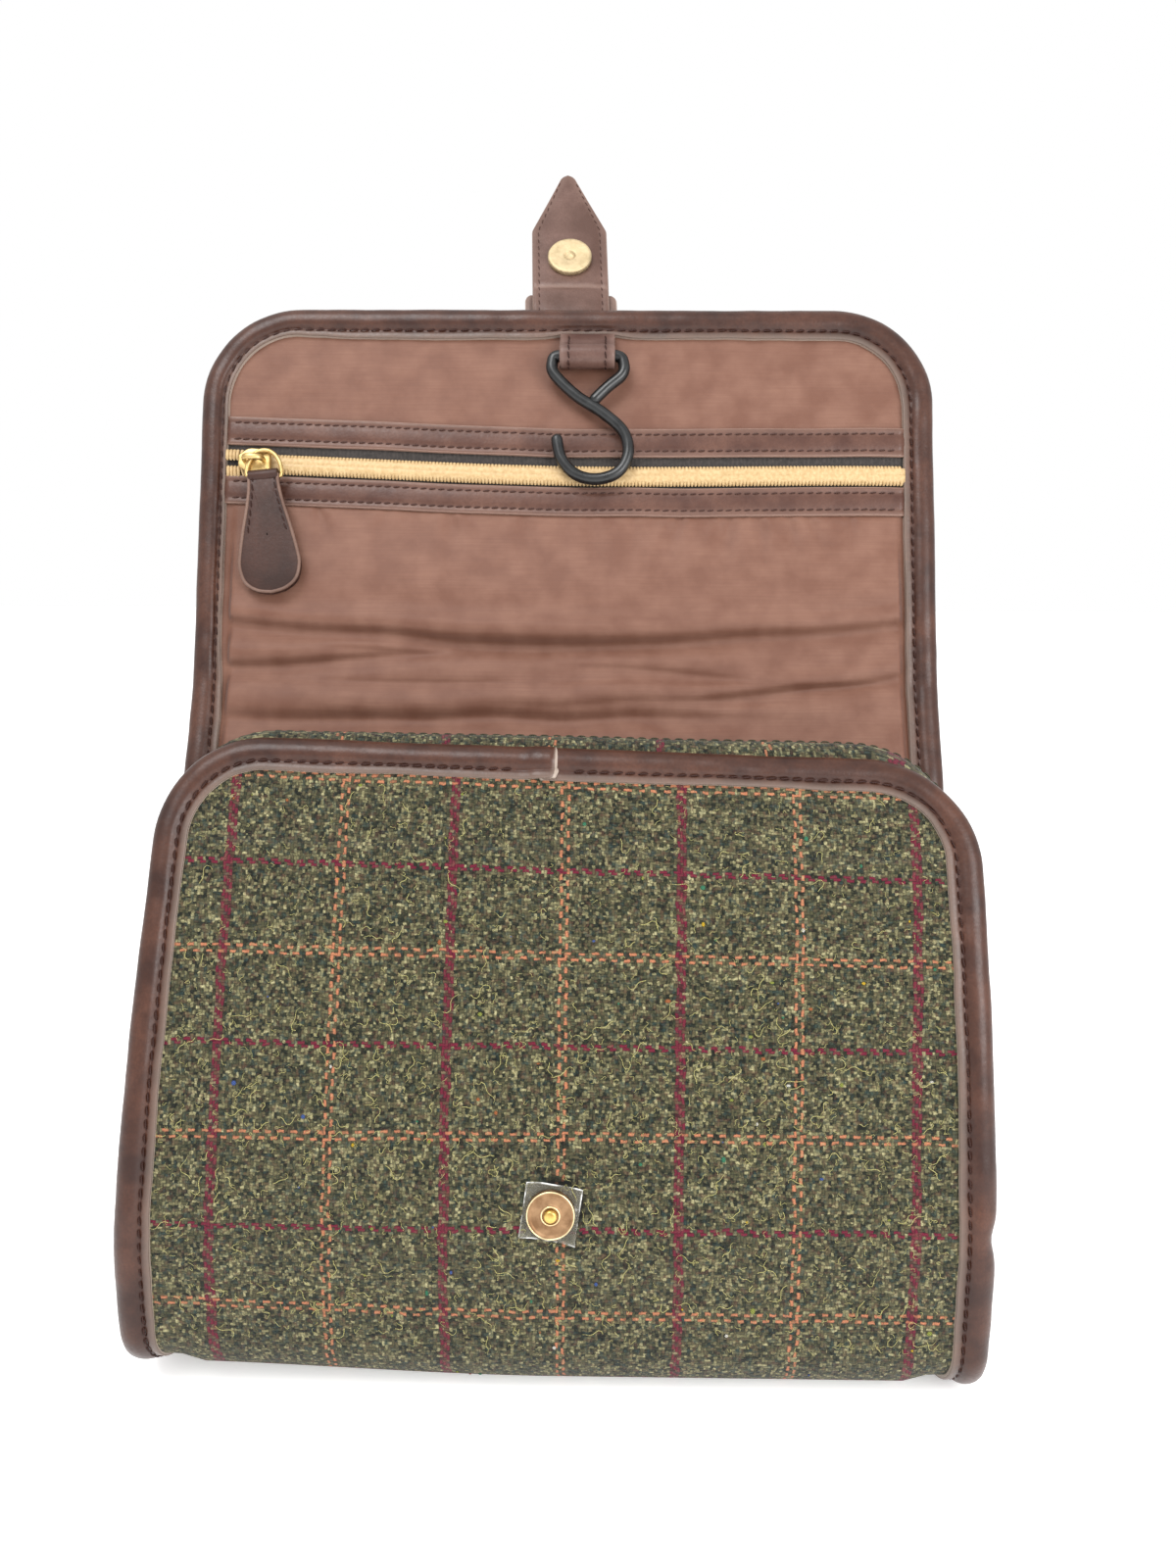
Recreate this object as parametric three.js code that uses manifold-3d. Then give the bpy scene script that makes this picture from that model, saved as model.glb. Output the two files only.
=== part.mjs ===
// Hanging toiletry bag, standing open on its base. Millimetres: X to the right, Y to the back, Z up.
// The origin is the centre of the base, on the surface that the bag stands on.
import * as THREE from 'three';
import Module from 'manifold-3d';
import { mergeVertices } from 'three/addons/utils/BufferGeometryUtils.js';

// Overall form
const bagWidth = 250;
const baseDepth = 84;
const frontHeight = 191;
const topEdgeSetBack = 49;
const frontBend = 20;
const backBend = 7;
const backHeight = 168;
const backLean = 1.45;
const lowerFlapLength = 38;
const lowerFlapLean = 24;
const upperFlapLength = 131;
const upperFlapLean = 15.6;
const foldRadius = 20;
const frontCornerRadius = 31;
const flapCornerRadius = 32;
const frontSlump = 7.2;
const leftPull = 6.4;
const baseEdgeLift = 2.0;
const baseEdgeWidth = 20;
const dentEdge = 12;
const dentFull = 40;

// Walls and clearances
const clearance = 0.3;
const shellWall = 2;
const gussetWall = 1.4;
const liningWall = 1;
const bindingWall = 1.2;

// Edge binding
const outerLeg = 8.5;
const innerLeg = 9;
const lapLength = 9;
const lapInnerLeg = 4.6;
const lapPlace = 1.2;

// Gusset and main zip
const frontSeamInset = 11.4;
const backSeamInset = 11.6;
const backSeamRadius = 22;
const backSeamDrop = 10.6;
const flangeInset = 1.5;
const crownRise = 25.6;
const sideBulge = 11;
const zipGap = 11;
const zipShareSide = 0.52;
const zipShareTop = 0.66;
const tapeWidth = 17;
const tapeWall = 1;
const mainCoilWidth = 6.4;
const mainCoilHeight = 2.4;
const mainSliderHeight = 116;

// Inside of the flap, measured down from the flap's top edge
const upperBandTop = 36.8;
const bandWidth = 10.1;
const bandWall = 1;
const pocketZipGap = 10.8;
const pocketCoilWidth = 6.2;
const pocketCoilHeight = 2.2;
const pocketZipSag = 2.2;
const pocketZipTilt = 3.9;
const pocketCoilDrop = 1.3;
const pocketSlack = 3.4;
const foldEase = 0.6;
const pocketSideEase = 14;

// Hook and its loop
const loopWidth = 19;
const loopDrop = 11.4;
const loopPlace = 7.2;
const hookWire = 3.8;
const hookHeight = 47;
const hookWidth = 28;
const hookClearance = 0.5;

// Strap
const strapLength = 69;
const strapWidth = 27.4;
const strapPointLength = 27;
const strapLean = 32;
const strapWall = 2.2;
const strapLap = 42;
const strapPlace = 1.3;
const strapStray = -2.4;
const strapBendRadius = 30;
const strapBaseWidth = 33;
const strapBaseRise = 13.5;
const strapBaseWall = 1.5;

// Snaps, sliders and pulls
const frontSnapDiameter = 14;
const strapSnapDiameter = 16.4;
const snapThickness = 2.2;
const snapDrop = 138;
const snapPlace = -0.5;
const strapSnapRise = 29.5;
const filmSide = 16.4;
const filmWall = 0.5;
const filmTurn = 8;
const sliderLength = 11;
const sliderWidth = 8.4;
const sliderThickness = 2;
const bailHeight = 4.6;
const bailWidth = 2.4;
const bailWire = 1.3;
const pocketSliderPlace = -107;
const pullerLength = 41;
const pullerWidth = 20;
const pullerTopWidth = 10;
const pullerWall = 2.4;
const pullerTurnWall = 1;
const ringWire = 1.5;
const ringWidth = 13.5;
const ringHeight = 9.5;
const mainPullLength = 22;
const mainPullWidth = 6;
const mainPullWall = 1;
const mainPullLift = 34;

// Snap profile
const snapRim = 0.9;
const snapBevel = 0.4;
const snapFaceDrop = 0.3;
const snapWellShare = 0.4;
const snapPinRise = 1.2;
const snapHollowDepth = 1.2;

// Shares that shape the soft forms: of the front's height, of the binding's width, of the loop's length
const dentShare = 0.85;
const slumpShare = 0.7;
const pullShare = 0.9;
const rollReach = 0.7;
const rollShoulder = 0.4;
const pliesMeet = 0.7;
const loopTurnEnd = 0.28;
const filmRowShare = 0.6;

// Shares that shape the small parts: of the slider, its bail, the ring and the puller
const sliderNose = 0.55;
const sliderTaper = 0.4;
const bailSpan = 0.72;
const bailShoulder = 0.6;
const bailLegShare = 0.6;
const bailFoot = 0.3;
const ringStraight = 0.8;
const ringDrop = 0.12;
const pullerWaist = 0.3;
const pullerFlare = 0.5;
const tunnelSink = 0.4;
const pullSeat = 0.55;
const strapTipHalf = 0.6;
const hairline = 0.01;

const halfWidth = bagWidth / 2;
const radians = THREE.MathUtils.degToRad;
const { lerp, smoothstep } = THREE.MathUtils;

// The front panel's side view: shares of the front's height and of the top edge's set-back
const frontShape = [
  { up: 1.0, back: 1.0 },
  { up: 0.962, back: 0.915 },
  { up: 0.8, back: 0.62 },
  { up: 0.58, back: 0.31 },
  { up: 0.32, back: 0.04 },
  { up: 0.18, back: 0.0 },
];

// Soft dents of the front panel: shares of the front's height and of the width, depth in millimetres
const frontDents = [
  { down: 0.32, across: 0.04, reach: 0.16, depth: -1.6 },
  { down: 0.45, across: 0.2, reach: 0.14, depth: 1.0 },
  { down: 0.62, across: -0.3, reach: 0.18, depth: 1.2 },
  { down: 0.78, across: 0.4, reach: 0.12, depth: -1.1 },
];

// Folds of the pocket's front: shares of its height, up from the bottom; depth in millimetres
const pocketFolds = [
  { up: 0.86, tilt: 0.03, reach: 0.05, depth: 0.7 },
  { up: 0.52, tilt: -0.01, reach: 0.045, depth: -2.2 },
  { up: 0.42, tilt: 0.02, reach: 0.06, depth: 1.2 },
  { up: 0.3, tilt: -0.05, reach: 0.05, depth: -1.4 },
  { up: 0.12, tilt: 0.01, reach: 0.05, depth: 0.8 },
];

// A path in the side view that goes on in its own direction, by straight stretches and round bends
function sideWalk(start, heading) {
  const path = new THREE.Path();
  let angle = radians(heading);
  let here = start.clone();
  path.moveTo(here.x, here.y);
  return {
    path,
    ahead(length) {
      here = new THREE.Vector2(here.x + length * Math.cos(angle), here.y + length * Math.sin(angle));
      path.lineTo(here.x, here.y);
      return this;
    },
    turn(radius, degrees) {
      const side = Math.sign(degrees);
      const toCentre = angle + side * Math.PI / 2;
      const centre = new THREE.Vector2(
        here.x + radius * Math.cos(toCentre),
        here.y + radius * Math.sin(toCentre),
      );
      const from = toCentre + Math.PI;
      const to = from + radians(degrees);
      path.absarc(centre.x, centre.y, radius, from, to, degrees < 0);
      here = new THREE.Vector2(centre.x + radius * Math.cos(to), centre.y + radius * Math.sin(to));
      angle += radians(degrees);
      return this;
    },
  };
}

// Side view of the tweed sheet's outer face: down the front, under the base, up the back and the flap
const frontY = -baseDepth / 2;
const foldBend = lowerFlapLean + backLean;
const bendLoss = foldRadius * Math.tan(radians(foldBend / 2));
const secondBend = lowerFlapLean - upperFlapLean;
const secondLoss = foldRadius * Math.tan(radians(secondBend / 2));
const frontCurve = frontShape.map(({ up, back }) => new THREE.Vector2(
  frontY + topEdgeSetBack * back,
  frontHeight * up,
));
const frontPath = new THREE.SplineCurve([...frontCurve, new THREE.Vector2(frontY, frontBend)]);
const walk = sideWalk(new THREE.Vector2(frontY, frontBend), -90)
  .turn(frontBend, 90)
  .ahead(baseDepth - frontBend - backBend)
  .turn(backBend, 90 + backLean)
  .ahead(backHeight - backBend - bendLoss)
  .turn(foldRadius, -foldBend)
  .ahead(lowerFlapLength - bendLoss - secondLoss)
  .turn(foldRadius, secondBend)
  .ahead(upperFlapLength - secondLoss);
const bendArc = (radius, degrees) => radius * radians(degrees);
const frontRun = frontPath.getLength();
const restRun = walk.path.getLength();
const sheetLength = frontRun + restRun;
const baseStart = frontRun + bendArc(frontBend, 90);
const baseEnd = baseStart + baseDepth - frontBend - backBend;
const backStart = baseEnd + bendArc(backBend, 90 + backLean);
const firstFold = backStart + backHeight - backBend - bendLoss;
const lowerFlapStart = firstFold + bendArc(foldRadius, foldBend);
const secondFold = lowerFlapStart + lowerFlapLength - bendLoss - secondLoss;
const upperFlapStart = secondFold + bendArc(foldRadius, secondBend);

// Place and outward direction at a distance along the sheet, both in the side view
function sideAt(along) {
  const onFront = along < frontRun;
  const curve = onFront ? frontPath : walk.path;
  const share = onFront ? along / frontRun : (along - frontRun) / restRun;
  const inside = Math.min(Math.max(share, 0), 1);
  const direction = curve.getTangentAt(inside);
  const outward = new THREE.Vector2(direction.y, -direction.x);
  const place = curve.getPointAt(inside).addScaledVector(direction, (share - inside) * curve.getLength());
  return { place, outward };
}

// How far the front's soft dents push the cloth outward; they fade towards the bound edges
function dentAt(along, across) {
  const edgeFade = smoothstep(halfWidth - Math.abs(across), dentEdge, dentFull)
    * smoothstep(along, dentEdge, dentFull)
    * (1 - smoothstep(along, dentShare * frontRun, frontRun));
  const sum = frontDents.reduce((total, dent) => {
    const down = (along / frontHeight - dent.down) / dent.reach;
    const side = (across / bagWidth - dent.across) / dent.reach;
    return total + dent.depth * Math.exp(-down * down - side * side);
  }, 0);
  return edgeFade * sum;
}

const liftedWidth = Math.max(frontSeamInset, backSeamInset) + gussetWall + clearance;

// The base's side edges are lifted off the surface, which leaves room for the binding under them
function edgeLiftAt(along, across) {
  const fromEdge = halfWidth - Math.abs(across);
  const nearEdge = Math.min(Math.max((baseEdgeWidth - fromEdge) / (baseEdgeWidth - liftedWidth), 0), 1);
  const onBase = smoothstep(along, frontRun, baseStart - frontBend / 2)
    * (1 - smoothstep(along, baseEnd + backBend / 2, backStart));
  return baseEdgeLift * nearEdge * onBase;
}

// The front hangs lower towards its right side
function slumpAt(along, across) {
  return frontSlump * (across / bagWidth + 0.5) * (1 - smoothstep(along, 0, slumpShare * frontHeight));
}

// The front's left side draws in towards its top
function pullAt(along, across) {
  return leftPull * Math.max(-across / halfWidth, 0) * (1 - smoothstep(along, 0, pullShare * frontHeight));
}

// A point of the bag: distance along the sheet, place across it and depth under its outer face
function sheetPoint(along, across, depth) {
  const { place, outward } = sideAt(along);
  const push = dentAt(along, across) - edgeLiftAt(along, across) - depth;
  return new THREE.Vector3(
    across + pullAt(along, across),
    place.x + outward.x * push,
    place.y + outward.y * push - slumpAt(along, across),
  );
}

const stepsBetween = (from, to, count) => (
  Array.from({ length: count + 1 }, (_, i) => lerp(from, to, i / count))
);

// A closed thin wall between two faces given as matching rows of points
function wallBetween(faceA, faceB) {
  const rows = faceA.length;
  const columns = faceA[0].length;
  const positions = [...faceA.flat(), ...faceB.flat()].flatMap((point) => point.toArray());
  const index = [];
  const at = (face, row, column) => face * rows * columns + row * columns + column;
  const quad = (a, b, c, d) => index.push(a, b, c, a, c, d);
  for (let row = 0; row < rows - 1; row += 1) {
    for (let column = 0; column < columns - 1; column += 1) {
      quad(at(0, row, column), at(0, row, column + 1), at(0, row + 1, column + 1), at(0, row + 1, column));
      quad(at(1, row, column), at(1, row + 1, column), at(1, row + 1, column + 1), at(1, row, column + 1));
    }
    quad(at(0, row, 0), at(0, row + 1, 0), at(1, row + 1, 0), at(1, row, 0));
    const last = columns - 1;
    quad(at(0, row, last), at(1, row, last), at(1, row + 1, last), at(0, row + 1, last));
  }
  for (let column = 0; column < columns - 1; column += 1) {
    quad(at(0, 0, column), at(1, 0, column), at(1, 0, column + 1), at(0, 0, column + 1));
    const last = rows - 1;
    quad(at(0, last, column), at(0, last, column + 1), at(1, last, column + 1), at(1, last, column));
  }
  const geometry = new THREE.BufferGeometry();
  geometry.setAttribute('position', new THREE.Float32BufferAttribute(positions, 3));
  geometry.setIndex(index);
  return facingOut(geometry);
}

// Turns every face over where the solid came out inside out
function facingOut(geometry) {
  const position = geometry.getAttribute('position');
  const index = geometry.getIndex();
  const corner = (i) => new THREE.Vector3().fromBufferAttribute(position, index.getX(i));
  let volume = 0;
  for (let i = 0; i < index.count; i += 3) {
    volume += corner(i).dot(corner(i + 1).cross(corner(i + 2)));
  }
  if (volume < 0) {
    for (let i = 0; i < index.count; i += 3) {
      const first = index.getX(i);
      index.setX(i, index.getX(i + 1));
      index.setX(i + 1, first);
    }
  }
  return geometry;
}

const wasm = await Module();
wasm.setup();

function toSolid(geometry) {
  const bare = geometry.clone();
  bare.deleteAttribute('normal');
  bare.deleteAttribute('uv');
  const merged = mergeVertices(bare, 1e-4);
  return new wasm.Manifold(new wasm.Mesh({
    numProp: 3,
    vertProperties: new Float32Array(merged.getAttribute('position').array),
    triVerts: new Uint32Array(merged.getIndex().array),
  }));
}

function fromSolid(solid) {
  const mesh = solid.getMesh();
  const geometry = new THREE.BufferGeometry();
  geometry.setAttribute('position', new THREE.Float32BufferAttribute(mesh.vertProperties, 3));
  geometry.setIndex(Array.from(mesh.triVerts));
  return geometry;
}

const joined = (geometries) => fromSolid(geometries.map(toSolid).reduce((all, next) => all.add(next)));

const bag = new THREE.Group();

function addPiece(name, geometry, finish) {
  const material = new THREE.MeshStandardMaterial(finish);
  const mesh = new THREE.Mesh(geometry, material);
  mesh.name = name;
  bag.add(mesh);
  return mesh;
}

const tweed = { color: 0x4b4a35, roughness: 0.95, metalness: 0 };
const leatherette = { color: 0x4a2a22, roughness: 0.38, metalness: 0 };
const nylon = { color: 0x946a5c, roughness: 0.5, metalness: 0 };
const blackTape = { color: 0x1d1b1c, roughness: 0.8, metalness: 0 };
const goldCoil = { color: 0xd9bf88, roughness: 0.45, metalness: 0.1 };
const gold = { color: 0xc9a35a, roughness: 0.3, metalness: 1 };
const paleGold = { color: 0xd8c79a, roughness: 0.35, metalness: 1 };
const blackPlastic = { color: 0x121212, roughness: 0.35, metalness: 0 };
const clearFilm = { color: 0xd8dcdc, roughness: 0.15, metalness: 0 };

// Half the sheet's width at a distance along it: both ends have rounded corners
function halfWidthAt(along) {
  const round = (radius, fromEnd) => {
    if (fromEnd >= radius) {
      return halfWidth;
    }
    const rise = radius - fromEnd;
    return halfWidth - radius + Math.sqrt(Math.max(radius * radius - rise * rise, 0));
  };
  return Math.min(round(frontCornerRadius, along), round(flapCornerRadius, sheetLength - along));
}

const cornerSteps = 6;
const bendSteps = 4;
const filmReach = filmRowShare * filmSide;
const frontRows = [
  ...stepsBetween(frontCornerRadius, snapDrop - filmReach, 4),
  snapDrop + filmReach,
  frontRun,
];
const cornerAngles = stepsBetween(0, Math.PI / 2, cornerSteps);
const cornerShares = cornerAngles.slice(0, -1).map((angle) => 1 - Math.cos(angle));

function sheetRows() {
  const frontCorner = cornerShares.map((share) => share * frontCornerRadius);
  const flapCorner = cornerShares.map((share) => sheetLength - share * flapCornerRadius);
  return [
    ...frontCorner,
    ...frontRows,
    ...stepsBetween(frontRun, baseStart, bendSteps).slice(1),
    ...stepsBetween(baseStart, baseEnd, 2).slice(1),
    ...stepsBetween(baseEnd, backStart, bendSteps).slice(1),
    ...stepsBetween(backStart, firstFold, 2).slice(1),
    ...stepsBetween(firstFold, lowerFlapStart, 3).slice(1),
    ...stepsBetween(lowerFlapStart, secondFold, 1).slice(1),
    ...stepsBetween(secondFold, upperFlapStart, 2).slice(1),
    ...stepsBetween(upperFlapStart, sheetLength - flapCornerRadius, 3).slice(1),
    ...flapCorner.reverse(),
  ];
}

function makeOuterShell() {
  const inset = [0, liftedWidth, baseEdgeWidth];
  const rows = sheetRows();
  const face = (depth) => rows.map((along) => {
    const half = halfWidthAt(along);
    const inner = half - baseEdgeWidth;
    const across = [
      ...inset.map((gap) => -half + gap),
      ...stepsBetween(-inner, inner, 5).slice(1, -1),
      ...inset.map((gap) => half - gap).reverse(),
    ];
    return across.map((x) => sheetPoint(along, x, depth));
  });
  return wallBetween(face(0), face(shellWall));
}

// Stations round the sheet's whole edge, each with the direction that points off the cloth
function edgeStations() {
  const middle = halfWidth - frontCornerRadius;
  const flapMiddle = halfWidth - flapCornerRadius;
  const frontTurn = frontCornerRadius;
  const flapTurn = sheetLength - flapCornerRadius;
  const side = sheetRows().filter((along) => (
    along > frontTurn + clearance && along < flapTurn - clearance
  ));
  const corner = (sideways, radius, centre, end) => {
    const onFront = end === 'front';
    const offEnd = onFront ? -1 : 1;
    const middleAlong = onFront ? radius : sheetLength - radius;
    return cornerAngles.map((angle) => ({
      across: sideways * (centre + radius * Math.sin(angle)),
      along: middleAlong + offEnd * radius * Math.cos(angle),
      offAcross: sideways * Math.sin(angle),
      offAlong: offEnd * Math.cos(angle),
    }));
  };
  const frontTop = (from, to, count) => stepsBetween(from, to, count).map((across) => ({
    across, along: 0, offAcross: 0, offAlong: -1,
  }));
  const rightCorner = corner(1, frontCornerRadius, middle, 'front');
  const leftCorner = corner(-1, frontCornerRadius, middle, 'front').reverse();
  const rightFlapCorner = corner(1, flapCornerRadius, flapMiddle, 'flap').reverse();
  const leftFlapCorner = corner(-1, flapCornerRadius, flapMiddle, 'flap');
  const down = (sideways, list) => list.map((along) => ({
    across: sideways * halfWidth, along, offAcross: sideways, offAlong: 0,
  }));
  const flapTop = stepsBetween(flapMiddle, -flapMiddle, 4).slice(1, -1).map((across) => ({
    across, along: sheetLength, offAcross: 0, offAlong: 1,
  }));
  return [
    ...frontTop(lapPlace - lapLength, middle, 5).slice(0, -1),
    ...rightCorner,
    ...down(1, side),
    ...rightFlapCorner,
    ...flapTop,
    ...leftFlapCorner,
    ...down(-1, [...side].reverse()),
    ...leftCorner,
    ...frontTop(-middle, lapPlace - lapLength - 2 * clearance, 3).slice(1),
    ...frontTop(lapPlace - lapLength + 2, lapPlace, 2),
  ];
}

// A point beside an edge or seam: distance off the cloth and depth under its outer face
const seamPoint = (seam, outwards, depth) => sheetPoint(
  seam.along + seam.offAlong * outwards,
  seam.across + seam.offAcross * outwards,
  depth,
);

// Its ends lap at the top of the front: the left end lies over the right one
function makeEdgeBinding() {
  const stations = edgeStations();
  const uWidth = shellWall + gussetWall + 3 * clearance;
  const lapLift = (i) => (i >= stations.length - 3 ? bindingWall + clearance : 0);
  const section = (lift, offset) => {
    const outerFace = -clearance - offset - lift;
    const innerFace = uWidth - clearance + offset + lift;
    const middle = (outerFace + innerFace) / 2;
    const rise = rollReach * (rollShoulder * uWidth + offset + lift);
    return [
      { inset: outerLeg, depth: outerFace },
      { inset: 0, depth: outerFace },
      { inset: -rise, depth: lerp(outerFace, middle, rollShoulder) },
      { inset: -rise, depth: lerp(innerFace, middle, rollShoulder) },
      { inset: 0, depth: innerFace },
      { inset: lift > 0 ? lapInnerLeg : innerLeg, depth: innerFace },
    ];
  };
  const face = (offset) => stations.map((station, i) => (
    section(lapLift(i), offset).map(({ inset, depth }) => seamPoint(station, -inset, depth))
  ));
  return wallBetween(face(0), face(bindingWall));
}

// Paired stations on the front's and the back's gusset seam, up the left side, over the top, down the right
function gussetStations() {
  const frontRadius = frontCornerRadius - frontSeamInset;
  const frontMiddle = halfWidth - frontCornerRadius;
  const backTop = firstFold - backSeamDrop;
  const backMiddle = halfWidth - backSeamInset - backSeamRadius;
  const pairs = [
    ...stepsBetween(0, 1, bendSteps).slice(0, -1).map((share) => [
      lerp(baseStart, frontRun, share),
      lerp(baseEnd, backStart, share),
    ]),
    ...[...frontRows].reverse().slice(0, -1).map((along) => [
      along,
      lerp(backStart, backTop - backSeamRadius, (frontRun - along) / (frontRun - frontCornerRadius)),
    ]),
  ];
  const side = (sideways) => pairs.map(([frontAlong, backAlong]) => ({
    front: {
      across: sideways * (halfWidth - frontSeamInset), along: frontAlong, offAcross: sideways, offAlong: 0,
    },
    back: {
      across: sideways * (halfWidth - backSeamInset), along: backAlong, offAcross: sideways, offAlong: 0,
    },
    top: 0,
  }));
  const corner = (sideways) => cornerAngles.map((angle) => ({
    front: {
      across: sideways * (frontMiddle + frontRadius * Math.cos(angle)),
      along: frontCornerRadius - frontRadius * Math.sin(angle),
      offAcross: sideways * Math.cos(angle),
      offAlong: -Math.sin(angle),
    },
    back: {
      across: sideways * (backMiddle + backSeamRadius * Math.cos(angle)),
      along: backTop - backSeamRadius + backSeamRadius * Math.sin(angle),
      offAcross: sideways * Math.cos(angle),
      offAlong: Math.sin(angle),
    },
    top: Math.sin(angle),
  }));
  const top = stepsBetween(-1, 1, 6).slice(1, -1).map((share) => ({
    front: { across: share * frontMiddle, along: frontSeamInset, offAcross: 0, offAlong: -1 },
    back: { across: share * backMiddle, along: backTop, offAcross: 0, offAlong: 1 },
    top: 1,
  }));
  return [...side(-1), ...corner(-1), ...top, ...corner(1).reverse(), ...side(1).reverse()];
}

// The gusset's arch over one station: its outer face at a share of the way from front to back
const seamDepth = shellWall + clearance + gussetWall;
const archDepth = seamDepth + clearance + bindingWall + 2 * clearance;

function archOf(station) {
  const from = seamPoint(station.front, 0, archDepth);
  const to = seamPoint(station.back, 0, archDepth);
  const chord = to.clone().sub(from);
  const span = chord.length();
  const frontOut = seamPoint(station.front, 1, archDepth).sub(from).normalize();
  const backOut = seamPoint(station.back, 1, archDepth).sub(to).normalize();
  const out = frontOut.add(backOut).normalize();
  const rise = lerp(sideBulge * station.fullness, crownRise, station.top);
  return {
    span,
    zipShare: lerp(zipShareSide, zipShareTop, station.top),
    at(share, under) {
      const tangent = chord.clone().addScaledVector(out, 4 * rise * (1 - 2 * share)).normalize();
      const normal = out.clone().addScaledVector(tangent, -tangent.dot(out)).normalize();
      const height = 4 * rise * share * (1 - share);
      return from.clone().lerp(to, share).addScaledVector(out, height).addScaledVector(normal, -under);
    },
  };
}

const stations = gussetStations();
stations.forEach((station) => {
  station.fullness = smoothstep(sideAt(station.front.along).place.y, frontBend / 2, frontHeight / 2);
});
const zipHalfShare = (arch, width) => width / 2 / arch.span;

function gussetStrip(seamName, seamInset) {
  const face = (inner) => stations.map((station) => {
    const arch = archOf(station);
    const seam = station[seamName];
    const under = inner ? gussetWall : 0;
    const flangeDepth = shellWall + clearance + (inner ? 0 : gussetWall);
    const edge = seamName === 'front'
      ? arch.zipShare - zipHalfShare(arch, zipGap)
      : arch.zipShare + zipHalfShare(arch, zipGap);
    const start = seamName === 'front' ? 0 : 1;
    const curl = inner ? gussetWall : 0;
    return [
      seamPoint(seam, seamInset - flangeInset, flangeDepth),
      seamPoint(seam, -curl, flangeDepth),
      ...stepsBetween(start, edge, 4).map((share) => arch.at(share, under)),
    ];
  });
  return wallBetween(face(false), face(true));
}

function ribbonOnArch(width, top, bottom, columns, crown = () => 0) {
  const face = (under, lifted) => stations.map((station) => {
    const arch = archOf(station);
    const half = zipHalfShare(arch, width);
    return stepsBetween(-1, 1, columns).map((share) => (
      arch.at(arch.zipShare + share * half, under - (lifted ? crown(share) : 0))
    ));
  });
  return wallBetween(face(top, true), face(bottom, false));
}

const tapeTop = gussetWall + 2 * clearance;
const coilBottom = tapeTop - clearance;

// Stations across the flap's inside: fine at the corners, plain in the middle
function flapColumns(edge) {
  const middle = halfWidth - flapCornerRadius;
  const reach = edge - middle;
  const corner = stepsBetween(0, Math.PI / 2, 5).slice(1).map((angle) => middle + reach * Math.sin(angle));
  const right = [...corner].reverse();
  return [...right.map((x) => -x), ...stepsBetween(-middle, middle, 8), ...corner];
}

const underFlapTop = (down) => sheetLength - down;
const sagAt = (across) => pocketZipSag * Math.cos((Math.PI * across) / bagWidth) ** 2
  + pocketZipTilt * (across / bagWidth + 0.5);
const liningDepth = shellWall + clearance;

// Distance down from the flap's top edge to a cut edge that keeps clear of the rounded corner
function cornerDrop(across, inset) {
  const middle = halfWidth - flapCornerRadius;
  const beyond = Math.max(Math.abs(across) - middle, 0);
  const radius = flapCornerRadius - inset;
  return flapCornerRadius - Math.sqrt(Math.max(radius * radius - beyond * beyond, 0));
}

function makeFlapLining() {
  const edge = halfWidth - flangeInset;
  const columns = flapColumns(edge - hairline);
  const lower = (across) => upperBandTop + bandWidth / 2 + sagAt(across);
  const face = (depth) => stepsBetween(0, 1, 4).map((share) => columns.map((across) => {
    const down = lerp(cornerDrop(across, flangeInset), lower(across), share);
    return sheetPoint(underFlapTop(down), across, depth);
  }));
  return wallBetween(face(liningDepth + liningWall), face(liningDepth));
}

const zipTop = upperBandTop + bandWidth;
const lowerBandTop = zipTop + pocketZipGap;
const pocketTop = lowerBandTop + bandWidth / 2;

// The pocket's lower edge runs above the gusset's rounded back seam
function pocketBottomAt(across) {
  const seamReach = backSeamInset - flangeInset + 2 * clearance;
  const backTop = firstFold - backSeamDrop;
  const backMiddle = halfWidth - backSeamInset - backSeamRadius;
  const radius = backSeamRadius + seamReach;
  const beyond = Math.min(Math.max(Math.abs(across) - backMiddle, 0), radius);
  return backTop - backSeamRadius + Math.sqrt(radius * radius - beyond * beyond);
}

// Cloth that runs over the flap's folds stands a little further off the sheet there
function foldEaseAt(along) {
  const nearFold = (fold) => Math.max(0, 1 - Math.abs(along - fold) / foldRadius);
  return foldEase * Math.max(nearFold(firstFold), nearFold(lowerFlapStart));
}

function makePocketPanel() {
  const edge = halfWidth - flangeInset;
  const columns = flapColumns(edge - hairline);
  const rows = [...stepsBetween(0, 1, 17), 1];
  const slackAt = (up, across) => {
    const sideFade = smoothstep(edge - Math.abs(across), innerLeg, innerLeg + pocketSideEase);
    const endFade = Math.sin(Math.PI * up);
    const folds = pocketFolds.reduce((sum, fold) => {
      const off = (up - fold.up - fold.tilt * (across / halfWidth) ** 2) / fold.reach;
      return sum + fold.depth * Math.exp(-off * off);
    }, 0);
    return Math.max(0, sideFade * (pocketSlack * endFade + folds * Math.sqrt(Math.max(endFade, 0))));
  };
  const face = (depth) => rows.map((up, row) => columns.map((across) => {
    const underBand = row === rows.length - 1;
    const down = (underBand ? pocketTop : lowerBandTop + bandWidth) + sagAt(across);
    const along = lerp(pocketBottomAt(across), underFlapTop(down), up);
    return sheetPoint(along, across, depth + foldEaseAt(along) + (underBand ? 0 : slackAt(up, across)));
  }));
  return wallBetween(face(liningDepth + liningWall), face(liningDepth));
}

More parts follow.
